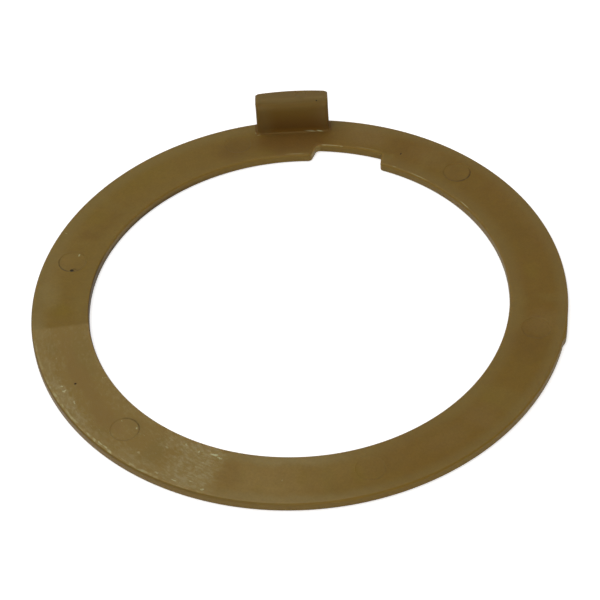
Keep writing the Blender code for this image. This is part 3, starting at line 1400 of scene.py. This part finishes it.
@dataclass(frozen=True)
class AmberNylon:
    """Amber moulded nylon: cloudy, satin, with scuffs, pale nicks and a few dark specks, and painted light
    and shade in its colour.
    """

    name: str = "amber_nylon_detail"
    brown: Colour = (0.1565, 0.0850, 0.0120)
    olive: Colour = (0.1585, 0.0905, 0.0122)
    yellowed: Colour = (0.171, 0.1080, 0.0115)
    deep: Colour = (0.125, 0.0650, 0.0100)
    shade: Colour = (0.134, 0.0690, 0.0150)
    # Wall tones that paint light and shade: edge and edge_lit are shaded and lit copies of the wall, dusk and
    # shadowed are painted shade, and glowing is a painted glow.
    edge: Colour = (0.155, 0.0895, 0.0048)
    edge_lit: Colour = (0.163, 0.0990, 0.0170)
    dusk: Colour = (0.135, 0.0850, 0.0175)
    shadowed: Colour = (0.072, 0.0370, 0.0010)
    glowing: Colour = (0.250, 0.1700, 0.0500)
    lit: Colour = (0.172, 0.1060, 0.0185)
    # The tone of the painted light on the near side of the band.
    painted_light: Colour = (0.218, 0.1410, 0.0400)
    pale: Colour = (0.178, 0.1175, 0.0235)
    # The tone of the painted sheen along the band's margins.
    margin_sheen: Colour = (0.190, 0.1400, 0.0500)
    rubbed: Colour = (0.212, 0.1380, 0.0385)
    scuffed: Colour = (0.266, 0.2070, 0.0920)
    dusty: Colour = (0.178, 0.1080, 0.0280)
    pressed: Colour = (0.235, 0.1500, 0.0500)
    rosy: Colour = (0.190, 0.1160, 0.0315)
    mossy: Colour = (0.176, 0.1200, 0.0320)
    dark: Colour = (0.010, 0.0050, 0.0020)
    # Stress whitening of nicks, flecks and the worn rim, and also the tone of the painted highlights along
    # edges.
    whitening_and_highlight: Colour = (0.430, 0.420, 0.230)
    roughness: float = 0.42
    worn_roughness: float = 0.55
    gloss: float = 0.3
    gloss_tint: Colour = (1.0, 0.86, 0.5)
    translucence: float = 0.5
    glow_depth: float = 0.0015
    glow_tint: Colour = (1.0, 0.6, 0.25)
    ior: float = 1.5
    nick_gloss: float = 0.12
    polish: Grain = Grain(0.8, 3.0)
    polish_reach: float = 0.16
    lug_tones: LugTones = LugTones()
    skin: Skin = Skin()
    shares: WearAndSheenShares = WearAndSheenShares()
    worn: WornSector = WornSector()
    clouding: Grain = Grain(0.07, 3.0, 0.55, Fade(0.36, 0.64))
    mottling: Grain = Grain(0.55, 4.0, 0.6, Fade(0.3, 0.75, 0.975, 1.045))
    fine_mottling: Grain = Grain(2.4, 2.0, 0.75, Fade(0.3, 0.7, 0.94, 1.06))
    drift: Grain = Grain(0.35, 3.0, 0.6)
    drift_reach: float = 3.0
    tearing: Grain = Grain(1.6, 2.0)
    tear_reach: float = 0.9
    blotching: Grain = Grain(0.45, 4.0, 0.65, Fade(0.40, 0.62))
    drawn_axes: tuple[Colour, Colour] = ((0.38, 0.0, 0.0), (-0.12, 1.0, 0.0))
    streaking: Grain = Grain(1.8, 5.0, 0.7, Fade(0.44, 0.64))
    flecking: Grain = Grain(2.8, 4.0, 0.7, Fade(0.60, 0.72))
    liveliness: Grain = Grain(0.25, 2.0, 0.5, Fade(0.42, 0.62, 0.1, 0.35))
    rim_breaks: Grain = Grain(1.8, 3.0, 0.5, Fade(0.42, 0.60, 0.15, 1.0))
    dirt_and_shade_breaks: Grain = Grain(1.3, 3.0, 0.5, Fade(0.3, 0.55, 0.45, 1.0))
    dirt_and_shade_line: float = 0.17
    face_below: Fade = Fade(-0.22, -0.12)
    face_above: Fade = Fade(0.5, 0.1)
    face_rim: Fade = Fade(-0.15, -0.3)
    face_bore: Fade = Fade(0.1, 0.2)
    lit_reach: Fade = Fade(-25.0, 42.0, 0.0, 0.9)
    bore_reach: Fade = Fade(41.0, 39.0)
    edge_lean: Fade = Fade(-10.0, 30.0)
    edge_rounding: Fade = Fade(1.05, 1.3, 0.0, 0.75)
    dusk_lean: Fade = Fade(16.0, 38.0)
    dusk_rounding: Fade = Fade(1.1, 1.35)
    west_lean: Fade = Fade(16.0, 32.0)
    west_wall: Fade = Fade(1.1, 0.3)
    hidden_lean: Fade = Fade(31.0, 34.5)
    # The painted sheen along the band's margins, then the margins where the worn sector scuffs more.
    sheen_lean: Fade = Fade(5.0, 35.0)
    outer_sheen: Fade = Fade(-2.7, -0.5, 0.0, 0.37)
    inner_sheen: Fade = Fade(3.4, 0.4, 0.0, 0.34)
    outer_margin: Fade = Fade(-4.4, -0.9, 0.0, 0.8)
    inner_margin: Fade = Fade(2.0, 0.4, 0.0, 0.35)
    line_inside: Fade = Fade(-0.75, -0.5)
    line_outside: Fade = Fade(-0.12, -0.32)
    start: float = -124.5
    lit_side: float = 190.0
    sheen_side: float = 150.0
    dusk_side: float = -135.0
    hidden_side: float = -162.0
    # Painted light: paler patches on the near side of the band and at its far left, where more light falls.
    painted_light_patches: Patches = Patches(0.9, (
        Spot(-85.0, 40.6, 17.0, 34.0, 0.95),
        Spot(-74.0, 38.2, 16.0, 48.0, 0.45),
        Spot(-176.0, 42.8, 7.0, 30.0, 0.32),
        Spot(-80.0, 36.2, 5.5, 26.0, 0.85),
    ))
    # Where the worn rim edge carries a painted highlight, also whitened by wear.
    rim_highlight_and_wear: Patches = Patches(0.5, (
        Spot(-134.0, 44.4, 6.0, 17.0, 0.45),
        Spot(-121.0, 44.4, 6.0, 11.0, 0.7),
        Spot(-110.5, 44.3, 6.0, 9.0, 0.4),
        Spot(-150.0, 44.4, 6.0, 10.0, 0.2),
    ))
    scoured: Patches = Patches(0.6, (
        Spot(-99.9, 40.6, 12.0, 12.0, 0.88),
        Spot(-100.0, 36.9, 4.0, 20.0, 0.85),
        Spot(-108.5, 38.0, 4.0, 4.0, 0.5),
        Spot(-112.0, 43.4, 3.0, 8.0, 0.3),
        Spot(-136.0, 43.6, 2.4, 22.0, 0.6),
    ))
    pale_clouds: Patches = Patches(0.7, (
        Spot(158.2, 40.3, 12.0, 3.2, 0.34),
        Spot(170.6, 42.6, 4.6, 0.9, 0.45),
        Spot(173.4, 40.2, 4.8, 1.5, 0.32),
        Spot(69.0, 40.2, 11.0, 3.4, 0.25),
        Spot(10.5, 42.3, 6.0, 3.6, 0.32),
        Spot(-166.0, 37.0, 4.0, 9.0, 0.35),
        Spot(-168.0, 42.0, 6.0, 12.0, 0.35),
        Spot(-30.0, 36.6, 4.0, 16.0, 0.35),
        Spot(7.0, 36.7, 4.2, 15.0, 0.35),
        Spot(79.6, 37.2, 3.2, 5.0, 0.6),
        Spot(3.5, 43.0, 4.6, 2.6, 0.25),
        Spot(-23.4, 40.2, 13.0, 7.4, 0.42),
        Spot(-69.6, 40.2, 12.0, 3.4, 0.36),
        Spot(-84.6, 42.4, 4.8, 2.6, 0.30),
        Spot(-88.4, 40.0, 4.2, 1.6, 0.34),
        Spot(-80.5, 40.6, 2.6, 2.0, 0.18),
        Spot(-168.8, 39.6, 5.2, 1.0, 0.26),
    ))
    dusty_clouds: Patches = Patches(0.8, (
        Spot(87.0, 41.6, 8.0, 14.0, 0.75),
        Spot(69.0, 41.2, 7.5, 12.0, 0.45),
        Spot(2.5, 40.8, 8.0, 8.0, 0.50),
        Spot(-30.5, 40.5, 9.0, 8.0, 0.55),
        Spot(-40.0, 40.0, 7.0, 14.0, 0.40),
        Spot(38.0, 43.0, 4.0, 30.0, 0.25),
    ))
    # Paler strips, mostly along the band's edges, in the scuffed tone.
    pale_strips: Patches = Patches(0.8, (
        Spot(-80.0, 36.0, 4.4, 30.0, 0.40),
        Spot(-78.0, 44.4, 3.6, 38.0, 0.28),
        Spot(-155.0, 43.8, 4.4, 16.0, 0.40),
        Spot(-169.0, 42.4, 6.0, 10.0, 0.18),
    ))
    pressed_marks: Patches = Patches(0.12, (
        Spot(179.5, 40.09, 4.7, 4.7, 0.13),
        Spot(-120.2, 39.82, 4.7, 4.7, 0.16),
        Spot(60.2, 40.48, 4.7, 4.7, 0.09),
    ))
    lit_wall: Patches = Patches(0.5, (Spot(99.4, 36.7, 4.4, 2.6, 0.85),))
    shaded: Patches = Patches(0.6, (
        Spot(105.5, 39.2, 10.0, 19.0, 0.88),
        Spot(97.4, 42.4, 6.0, 3.4, 0.6),
    ))
    deep_clouds: Patches = Patches(0.8, (
        Spot(169.8, 39.6, 5.4, 3.8, 0.40),
        Spot(121.0, 39.0, 9.0, 11.0, 0.60),
        Spot(163.0, 38.4, 5.0, 12.0, 0.30),
        Spot(77.5, 40.6, 6.8, 8.0, 0.24),
        Spot(61.0, 40.2, 7.0, 4.6, 0.20),
        Spot(35.0, 40.2, 7.0, 15.0, 0.26),
        Spot(-4.5, 40.0, 9.5, 13.0, 0.42),
        Spot(-56.0, 39.6, 8.0, 9.0, 0.20),
        Spot(-91.6, 40.2, 7.4, 5.6, 0.27),
        Spot(-79.5, 39.8, 4.2, 5.4, 0.10),
    ))
    olive_clouds: Patches = Patches(0.8, (
        Spot(163.5, 41.0, 8.0, 5.4, 0.40),
        Spot(147.0, 41.2, 7.5, 18.0, 0.40),
        Spot(20.5, 39.4, 4.6, 6.6, 0.40),
        Spot(-24.0, 39.0, 6.0, 4.6, 0.40),
        Spot(-62.6, 40.4, 6.6, 3.2, 0.45),
        Spot(-75.0, 39.8, 5.0, 3.0, 0.30),
        Spot(-163.6, 39.9, 5.6, 6.0, 0.70),
    ))
    rosy_clouds: Patches = Patches(0.6, (
        Spot(-140.0, 39.4, 3.8, 22.0, 0.85),
        Spot(-126.0, 40.4, 3.8, 12.0, 0.8),
        Spot(-150.0, 39.6, 3.2, 9.0, 0.5),
    ))
    mossy_clouds: Patches = Patches(0.7, (
        Spot(-110.5, 40.0, 9.0, 4.6, 0.55),
        Spot(-118.5, 38.0, 3.4, 6.0, 0.40),
        Spot(-147.0, 37.4, 4.2, 16.0, 0.50),
        Spot(-123.0, 42.6, 3.2, 5.0, 0.35),
        Spot(-152.0, 42.0, 3.0, 5.0, 0.45),
    ))
    nicks: Patches = Patches(0.6, (
        Spot(-97.1, 37.0, 0.55, 1.7, 1.0),
        Spot(-95.4, 37.35, 0.42, 1.1, 0.8),
        Spot(-104.8, 36.8, 0.6, 0.5, 0.5),
        Spot(-101.1, 37.2, 0.9, 0.35, 0.7),
        Spot(-102.3, 43.9, 0.35, 1.1, 0.8),
        Spot(-99.0, 43.2, 0.4, 0.8, 0.6),
        Spot(-95.8, 44.1, 0.32, 0.8, 0.7),
        Spot(-139.8, 42.9, 0.6, 0.35, 0.9),
        Spot(-138.4, 42.9, 0.8, 0.4, 0.9),
        Spot(-134.3, 42.6, 0.4, 0.7, 0.6),
        Spot(-137.6, 36.3, 0.3, 0.4, 0.4),
        Spot(-137.2, 35.9, 0.4, 0.3, 0.25),
        Spot(-121.2, 44.4, 0.3, 1.4, 0.6),
        Spot(-119.6, 44.4, 0.3, 1.2, 0.6),
        Spot(-106.5, 43.8, 0.3, 0.8, 0.5),
        Spot(-79.7, 40.2, 0.35, 0.3, 0.35),
        Spot(-122.7, 38.9, 0.3, 0.5, 0.5),
        Spot(-118.4, 38.3, 0.45, 0.4, 0.8),
        Spot(176.9, 39.5, 0.45, 0.75, 0.8),
        Spot(-148.6, 41.8, 0.4, 0.5, 0.3),
        Spot(-113.0, 41.9, 0.5, 0.6, 0.35),
        Spot(-108.6, 38.6, 0.4, 0.7, 0.35),
        Spot(171.0, 44.0, 0.8, 0.25, 0.35),
    ))
    # Painted highlights: thin pale lines along the notch floor's edge, the bore's edge and the lug's foot.
    shines: Patches = Patches(0.7, (
        Spot(95.0, 38.16, 0.24, 4.6, 0.34),
        Spot(97.0, 38.14, 0.18, 1.3, 0.5),
        Spot(92.3, 38.12, 0.18, 0.9, 0.45),
        Spot(85.4, 38.40, 0.2, 5.6, 0.22),
        Spot(67.5, 35.55, 0.22, 5.2, 0.30),
        Spot(49.6, 35.60, 0.22, 3.2, 0.45),
        Spot(105.0, 35.68, 0.28, 4.6, 0.22),
        Spot(75.4, 35.62, 0.24, 1.2, 0.3),
        Spot(98.6, 41.70, 0.16, 1.6, 0.8),
        Spot(101.4, 41.60, 0.16, 3.6, 0.55),
        Spot(113.9, 41.72, 0.18, 0.9, 0.5),
        Spot(114.5, 42.3, 1.0, 0.16, 0.4),
        Spot(108.0, 41.64, 0.14, 3.0, 0.16),
    ))
    specks: Patches = Patches(0.4, (
        Spot(-177.6, 39.62, 0.85, 0.75, 1.0),
        Spot(-178.2, 39.2, 0.9, 0.35, 0.45),
        Spot(-139.2, 40.7, 0.5, 0.46, 1.0),
        Spot(76.1, 39.15, 0.62, 0.26, 1.0),
    ))
    lug_speck: tuple[float, float, float] = (-6.79, 41.98, 8.2)
    lug_speck_radius: float = 0.2
    # Dirt and painted shade in the crease round each ejector mark.
    mark_dirt_and_shade: tuple[MarkDirtAndShade, ...] = (
        MarkDirtAndShade(0, 0.12, 0.04, -40.0),
        MarkDirtAndShade(1, 0.62, 0.16, -112.0),
        MarkDirtAndShade(2, 0.55, 0.09, 50.0),
        MarkDirtAndShade(3, 0.16, 0.04, -30.0),
        MarkDirtAndShade(4, 0.14, 0.05, -80.0),
        MarkDirtAndShade(5, 0.72, 0.08, -40.0),
    )

    def build(self, washer: ThrustWasher) -> bpy.types.Material:
        """Make the material.

        Args:
            washer: the moulding that it dresses, whose sizes place the wear.

        Returns:
            The material.
        """
        material = bpy.data.materials.new(self.name)
        material.use_nodes = True
        graph = Graph(material.node_tree)
        here = self._here(graph, washer.ring)
        colour = self._body(here)
        colour = self._sheen_and_wear(here, colour, washer.ring)
        colour = self.lug_tones.lay(here, colour, washer.lug)
        # The nick mask that comes back also holds the painted highlights along edges.
        colour, nicks = self._small_marks(here, colour, washer.marks())
        rough = here.worn.ramp(0.0, 1.0, self.roughness, self.worn_roughness) - nicks * self.nick_gloss
        rough = rough + self.polish.swing(graph, here.place, self.polish_reach)
        sockets = {"Base Color": colour, "Roughness": rough, "IOR": self.ior,
                   "Specular IOR Level": self.gloss,
                   "Specular Tint": (*self.gloss_tint, 1.0), "Subsurface Weight": self.translucence,
                   "Subsurface Radius": self.glow_tint, "Subsurface Scale": self.glow_depth,
                   "Normal": self.skin.bend(here)}
        shader = graph.add("ShaderNodeBsdfPrincipled", None, sockets)
        graph.add("ShaderNodeOutputMaterial", None, {"Surface": shader})
        return material

    def _here(self, graph: Graph, ring: Ring) -> Here:
        """Read what the finish has to know at each point.

        Args:
            graph: the node tree.
            ring: the ring, for its sizes.

        Returns:
            What is known at the point.
        """
        inside = graph.add("ShaderNodeTexCoord", None, None, "Object")
        place = graph.vector(Maths.SCALE, inside, scale=1 / MM)
        flat = graph.vector(Maths.MULTIPLY, place, (1.0, 1.0, 0.0))
        height, radius = graph.split(place)[2], graph.length(flat)
        face = self.face_below.at(height, ring.thickness) * self.face_above.at(height, ring.thickness)
        face = face * self.face_rim.at(radius, ring.rim_radius) * self.face_bore.at(radius, ring.bore_radius)
        polar = graph.polar(flat, self.start)
        shifted = graph.polar(self.drift.moved(graph, flat, self.drift_reach), self.start)
        return Here(graph, place, flat, height, radius, polar, shifted, face,
                    self.worn.mask(graph, flat) * face)

    def _body(self, here: Here) -> Signal:
        """The moulding's cloudy colour, with painted light and shade laid in: lighter towards the lit side,
        painted light on the near side, painted shade in front of the lug, and lit and shaded tones on the
        walls.

        Args:
            here: what is known at the point.

        Returns:
            The colour.
        """
        graph, place, height = here.graph, here.place, here.height
        colour = graph.mix(self.clouding.at(graph, place), self.brown, self.olive)
        mottle, fine = self.mottling.at(graph, place), self.fine_mottling.at(graph, place)
        # Painted light: lighter towards the lit side.
        colour = graph.mix(self.lit_reach.at(graph.along(place, self.lit_side)), colour, self.lit)
        # Painted light on the near side and painted shade in front of the lug, then the moulding's own clouds
        # and the pale strips.
        for patches, tone in ((self.painted_light_patches, self.painted_light), (self.shaded, self.shade),
                              (self.deep_clouds, self.deep),
                              (self.olive_clouds, self.yellowed), (self.pale_clouds, self.pale),
                              (self.dusty_clouds, self.dusty), (self.pale_strips, self.scuffed)):
            colour = graph.mix(patches.mask(graph, here.shifted, self.start), colour, tone)
        colour = graph.vector(Maths.SCALE, colour, scale=mottle * fine)
        # Painted light and shade on the walls: the lit tone towards the lower left, on the bore and high on
        # the rounded edges, painted shade on the rounding of that side, painted shade low on the bore's wall
        # to the west and on its hidden side, and a painted glow on one stretch of the bore's wall.
        lean = graph.along(place, self.dusk_side)
        bore = self.bore_reach.at(here.radius)
        lit = self.edge_lean.at(lean).most(bore).most(self.edge_rounding.at(height))
        wall = graph.mix(lit, self.edge, self.edge_lit)
        wall = graph.mix(self.dusk_lean.at(lean) * self.dusk_rounding.at(height), wall, self.dusk)
        west = self.west_lean.at(graph.along(place, HALF_TURN)) * self.west_wall.at(height)
        hidden = self.hidden_lean.at(graph.along(place, self.hidden_side))
        wall = graph.mix(bore * west.most(hidden), wall, self.shadowed)
        wall = graph.mix(self.lit_wall.mask(graph, here.shifted, self.start), wall, self.glowing)
        return graph.mix(here.face, wall, colour)

    def _sheen_and_wear(self, here: Here, colour: Signal, ring: Ring) -> Signal:
        """The painted sheen along the band's margins, the scuffed sector, and the painted highlight along the
        sector's rim edge.

        Args:
            here: what is known at the point.
            colour: the colour so far.
            ring: the ring, for its sizes.

        Returns:
            The colour.
        """
        graph, radius, worn, shares = here.graph, here.radius, here.worn, self.shares
        rim, bore = ring.rim_radius, ring.bore_radius
        # Painted sheen: a paler veil along the outer and inner margins of the band, wider on the outer margin
        # and fainter on the inner one towards the left.
        left = self.sheen_lean.at(graph.along(here.flat, self.sheen_side))
        outer = self.outer_sheen.at(radius + left * shares.sheen_shift, rim)
        inner = self.inner_sheen.at(radius, bore) * (1 - left * shares.sheen_loss)
        colour = graph.mix(outer.most(inner) * here.face, colour, self.margin_sheen)
        colour = graph.mix(worn * shares.rubbing, colour, self.rubbed)
        drawn = graph.join(*(graph.vector(Maths.DOT_PRODUCT, here.polar, axis, output="Value")
                             for axis in self.drawn_axes), 0.0)
        streaks = self.streaking.at(graph, drawn)
        margin = self.outer_margin.at(radius, rim).most(self.inner_margin.at(radius, bore))
        rosy, mossy, scoured = (patches.mask(graph, here.shifted, self.start)
                                for patches in (self.rosy_clouds, self.mossy_clouds, self.scoured))
        amount = self.blotching.at(graph, here.flat) * shares.blotches
        amount = amount + streaks * (scoured * shares.scoured_streaks + shares.streaks) - shares.threshold
        amount = amount + margin * shares.margin + scoured * shares.scoured
        colour = graph.mix(worn * amount.clamped() * (1 - rosy * shares.rosy_calm), colour, self.scuffed)
        colour = graph.mix(worn * rosy * shares.rosy, colour, self.rosy)
        colour = graph.mix(worn * mossy * (1 - streaks * shares.mossy_streaks), colour, self.mossy)
        lively = self.liveliness.at(graph, here.flat).most(scoured * shares.scoured_flecks)
        flecks = self.flecking.at(graph, drawn) * lively * (1 - rosy * shares.rosy_flecks)
        # A painted highlight along the worn rim edge, in breaks, also whitened by wear.
        rim_line = self.line_inside.at(radius, rim) * self.line_outside.at(radius, rim)
        rim_line = rim_line * self.rim_highlight_and_wear.mask(graph, here.polar, self.start)
        rim_line = rim_line * self.rim_breaks.at(graph, drawn)
        return graph.mix(worn * flecks.most(rim_line), colour, self.whitening_and_highlight)

    def _small_marks(self, here: Here, colour: Signal, marks: list[PinMark]) -> tuple[Signal, Signal]:
        """The lines of dirt and painted shade round the ejector marks, the dark specks, the pale nicks and
        the painted highlights along bits of edge.

        Args:
            here: what is known at the point.
            colour: the colour so far.
            marks: the ejector marks.

        Returns:
            The colour, and how far the point lies in a nick or a painted highlight.
        """
        graph, flat, polar = here.graph, here.flat, here.polar
        pressed = self.pressed_marks.mask(graph, polar, self.start)
        colour = graph.mix(pressed * here.face, colour, self.pressed)
        # Dirt and painted shade in the crease round each ejector mark.
        lines = [line.mask(graph, flat, marks[line.index], self.dirt_and_shade_line) for line in self.mark_dirt_and_shade]
        dirt_and_shade = reduce(Signal.most, lines) * self.dirt_and_shade_breaks.at(graph, flat)
        colour = graph.mix(dirt_and_shade * here.face, colour, self.dark)
        # The nicks are whitened gouges; the shines are painted highlights along edges.
        torn = graph.polar(self.tearing.moved(graph, flat, self.tear_reach), self.start)
        nicks = self.nicks.mask(graph, torn, self.start).most(self.shines.mask(graph, polar, self.start))
        nicks = nicks * here.face
        colour = graph.mix(nicks, colour, self.whitening_and_highlight)
        specks = self.specks.mask(graph, polar, self.start) * here.face
        away = graph.vector(Maths.DISTANCE, here.place, self.lug_speck, output="Value")
        specks = specks.most(away.ramp(self.lug_speck_radius, self.lug_speck_radius / 2))
        return graph.mix(specks, colour, self.dark), nicks


@dataclass(frozen=True)
class FloorFinish:
    """The pale floor: white to the camera and in reflections, plainer to the light it throws back."""

    name: str = "pale_floor"
    seen: Colour = (1.0, 1.0, 1.0)
    thrown: Colour = (0.95, 0.945, 0.94)
    glow: float = 0.42

    def build(self) -> bpy.types.Material:
        """Make the material.

        Returns:
            The material.
        """
        material = bpy.data.materials.new(self.name)
        material.use_nodes = True
        graph = Graph(material.node_tree)
        path = graph.add("ShaderNodeLightPath")
        camera, glossy, through = (graph.named(path, ray.value) for ray in Ray)
        colour = graph.mix(camera + glossy + through, self.thrown, self.seen)
        matt = graph.add("ShaderNodeBsdfDiffuse", None, {"Color": colour})
        glow = graph.add("ShaderNodeEmission", None, {"Strength": camera * self.glow})
        both = graph.add("ShaderNodeAddShader", None, {0: matt, 1: glow})
        graph.add("ShaderNodeOutputMaterial", None, {"Surface": both})
        return material


@dataclass(frozen=True)
class SoftLamp:
    """A square soft lamp, in metres, that the camera doesn't see."""

    name: str
    place: tuple[float, float, float]
    aim: tuple[float, float, float]
    size: tuple[float, float]
    brightness: float
    colour: Colour = (1.0, 1.0, 1.0)

    def build(self) -> bpy.types.Object:
        """Hang the lamp.

        Returns:
            The lamp.
        """
        light = bpy.data.lights.new(self.name, "AREA")
        light.shape = "RECTANGLE"
        light.size, light.size_y = self.size
        light.energy = self.brightness * math.pi * self.size[0] * self.size[1]
        light.color = self.colour
        lamp = bpy.data.objects.new(self.name, light)
        lamp.location = self.place
        lamp.rotation_mode = "QUATERNION"
        lamp.rotation_quaternion = (Vector(self.aim) - Vector(self.place)).to_track_quat("-Z", "Y")
        lamp.visible_camera = False
        bpy.context.scene.collection.objects.link(lamp)
        return lamp


@dataclass(frozen=True)
class Camera:
    """The photograph's camera, by where it aims, from how far, and how it is turned."""

    aim: tuple[float, float, float] = (0.0424, 0.5405, 0.0)
    distance: float = 370.356
    heading: float = 16.8065
    pitch: float = 45.4605
    roll: float = -4.0385
    lens: float = 131.861
    sensor: float = 36.0
    clip_start: float = 0.01
    clip_end: float = 50.0

    def build(self) -> bpy.types.Object:
        """Set up the camera.

        Returns:
            The camera.
        """
        data = bpy.data.cameras.new("camera")
        data.lens = self.lens
        data.sensor_width = self.sensor
        data.sensor_fit = "HORIZONTAL"
        data.clip_start = self.clip_start
        data.clip_end = self.clip_end
        camera = bpy.data.objects.new("camera", data)
        heading, pitch = math.radians(self.heading), math.radians(self.pitch)
        level = math.cos(pitch)
        back = Vector((math.sin(heading) * level, -math.cos(heading) * level, math.sin(pitch)))
        camera.location = (Vector(self.aim) + back * self.distance) * MM
        camera.rotation_mode = "QUATERNION"
        turn = (-back).to_track_quat("-Z", "Y").to_matrix() @ Matrix.Rotation(math.radians(self.roll), 3, "Z")
        camera.rotation_quaternion = turn.to_quaternion()
        bpy.context.scene.collection.objects.link(camera)
        bpy.context.scene.camera = camera
        return camera


@dataclass(frozen=True)
class Studio:
    """The floor, the lamps, the light all round and the camera."""

    floor_size: float = 8.0
    floor_height: float = -0.00002
    surround: float = 0.5
    lamps: tuple[SoftLamp, ...] = (
        SoftLamp("overhead_lamp", (-0.2, -0.05, 0.75), (0.0, 0.0, 0.0), (0.7, 0.7), 1.7),
        SoftLamp("front_lamp", (0.18, -0.85, 0.3), (0.0, 0.0, 0.0), (0.8, 0.45), 1.45),
    )

    def build(self) -> None:
        """Set up the studio."""
        self._floor()
        self._world()
        for lamp in self.lamps:
            lamp.build()
            LOG.info("lamp %s", lamp.name)
        Camera().build()
        bpy.context.scene.view_settings.view_transform = "Standard"

    def _floor(self) -> None:
        """Lay the floor."""
        half = self.floor_size / 2
        data = bpy.data.meshes.new("floor")
        corners = [(-half, -half, 0), (half, -half, 0), (half, half, 0), (-half, half, 0)]
        data.from_pydata(corners, [], [(0, 1, 2, 3)])
        floor = bpy.data.objects.new("floor", data)
        floor.location.z = self.floor_height
        data.materials.append(FloorFinish().build())
        bpy.context.scene.collection.objects.link(floor)

    def _world(self) -> None:
        """Light all round: white to the camera, and softer on the object."""
        world = bpy.data.worlds.new("surround")
        world.use_nodes = True
        bpy.context.scene.world = world
        graph = Graph(world.node_tree)
        camera = graph.add("ShaderNodeLightPath", None, None, Ray.CAMERA.value)
        strength = camera.ramp(0.0, 1.0, self.surround, 1.0)
        shown = graph.add("ShaderNodeBackground", None, {"Color": (1.0, 1.0, 1.0, 1.0), "Strength": strength})
        graph.add("ShaderNodeOutputWorld", None, {"Surface": shown})


def main() -> None:
    """Build the washer and the studio, hang the washer on the root body and hide the CAD's own piece."""
    logging.basicConfig(level=logging.INFO, format="%(message)s")
    moulding = ThrustWasher()
    washer = moulding.build()
    washer.data.materials.append(AmberNylon().build(moulding))
    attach(washer, "root")
    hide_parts("thrust_washer")
    LOG.info("piece %s: %d faces", washer.name, len(washer.data.polygons))
    Studio().build()


if __name__ == "__main__":
    main()
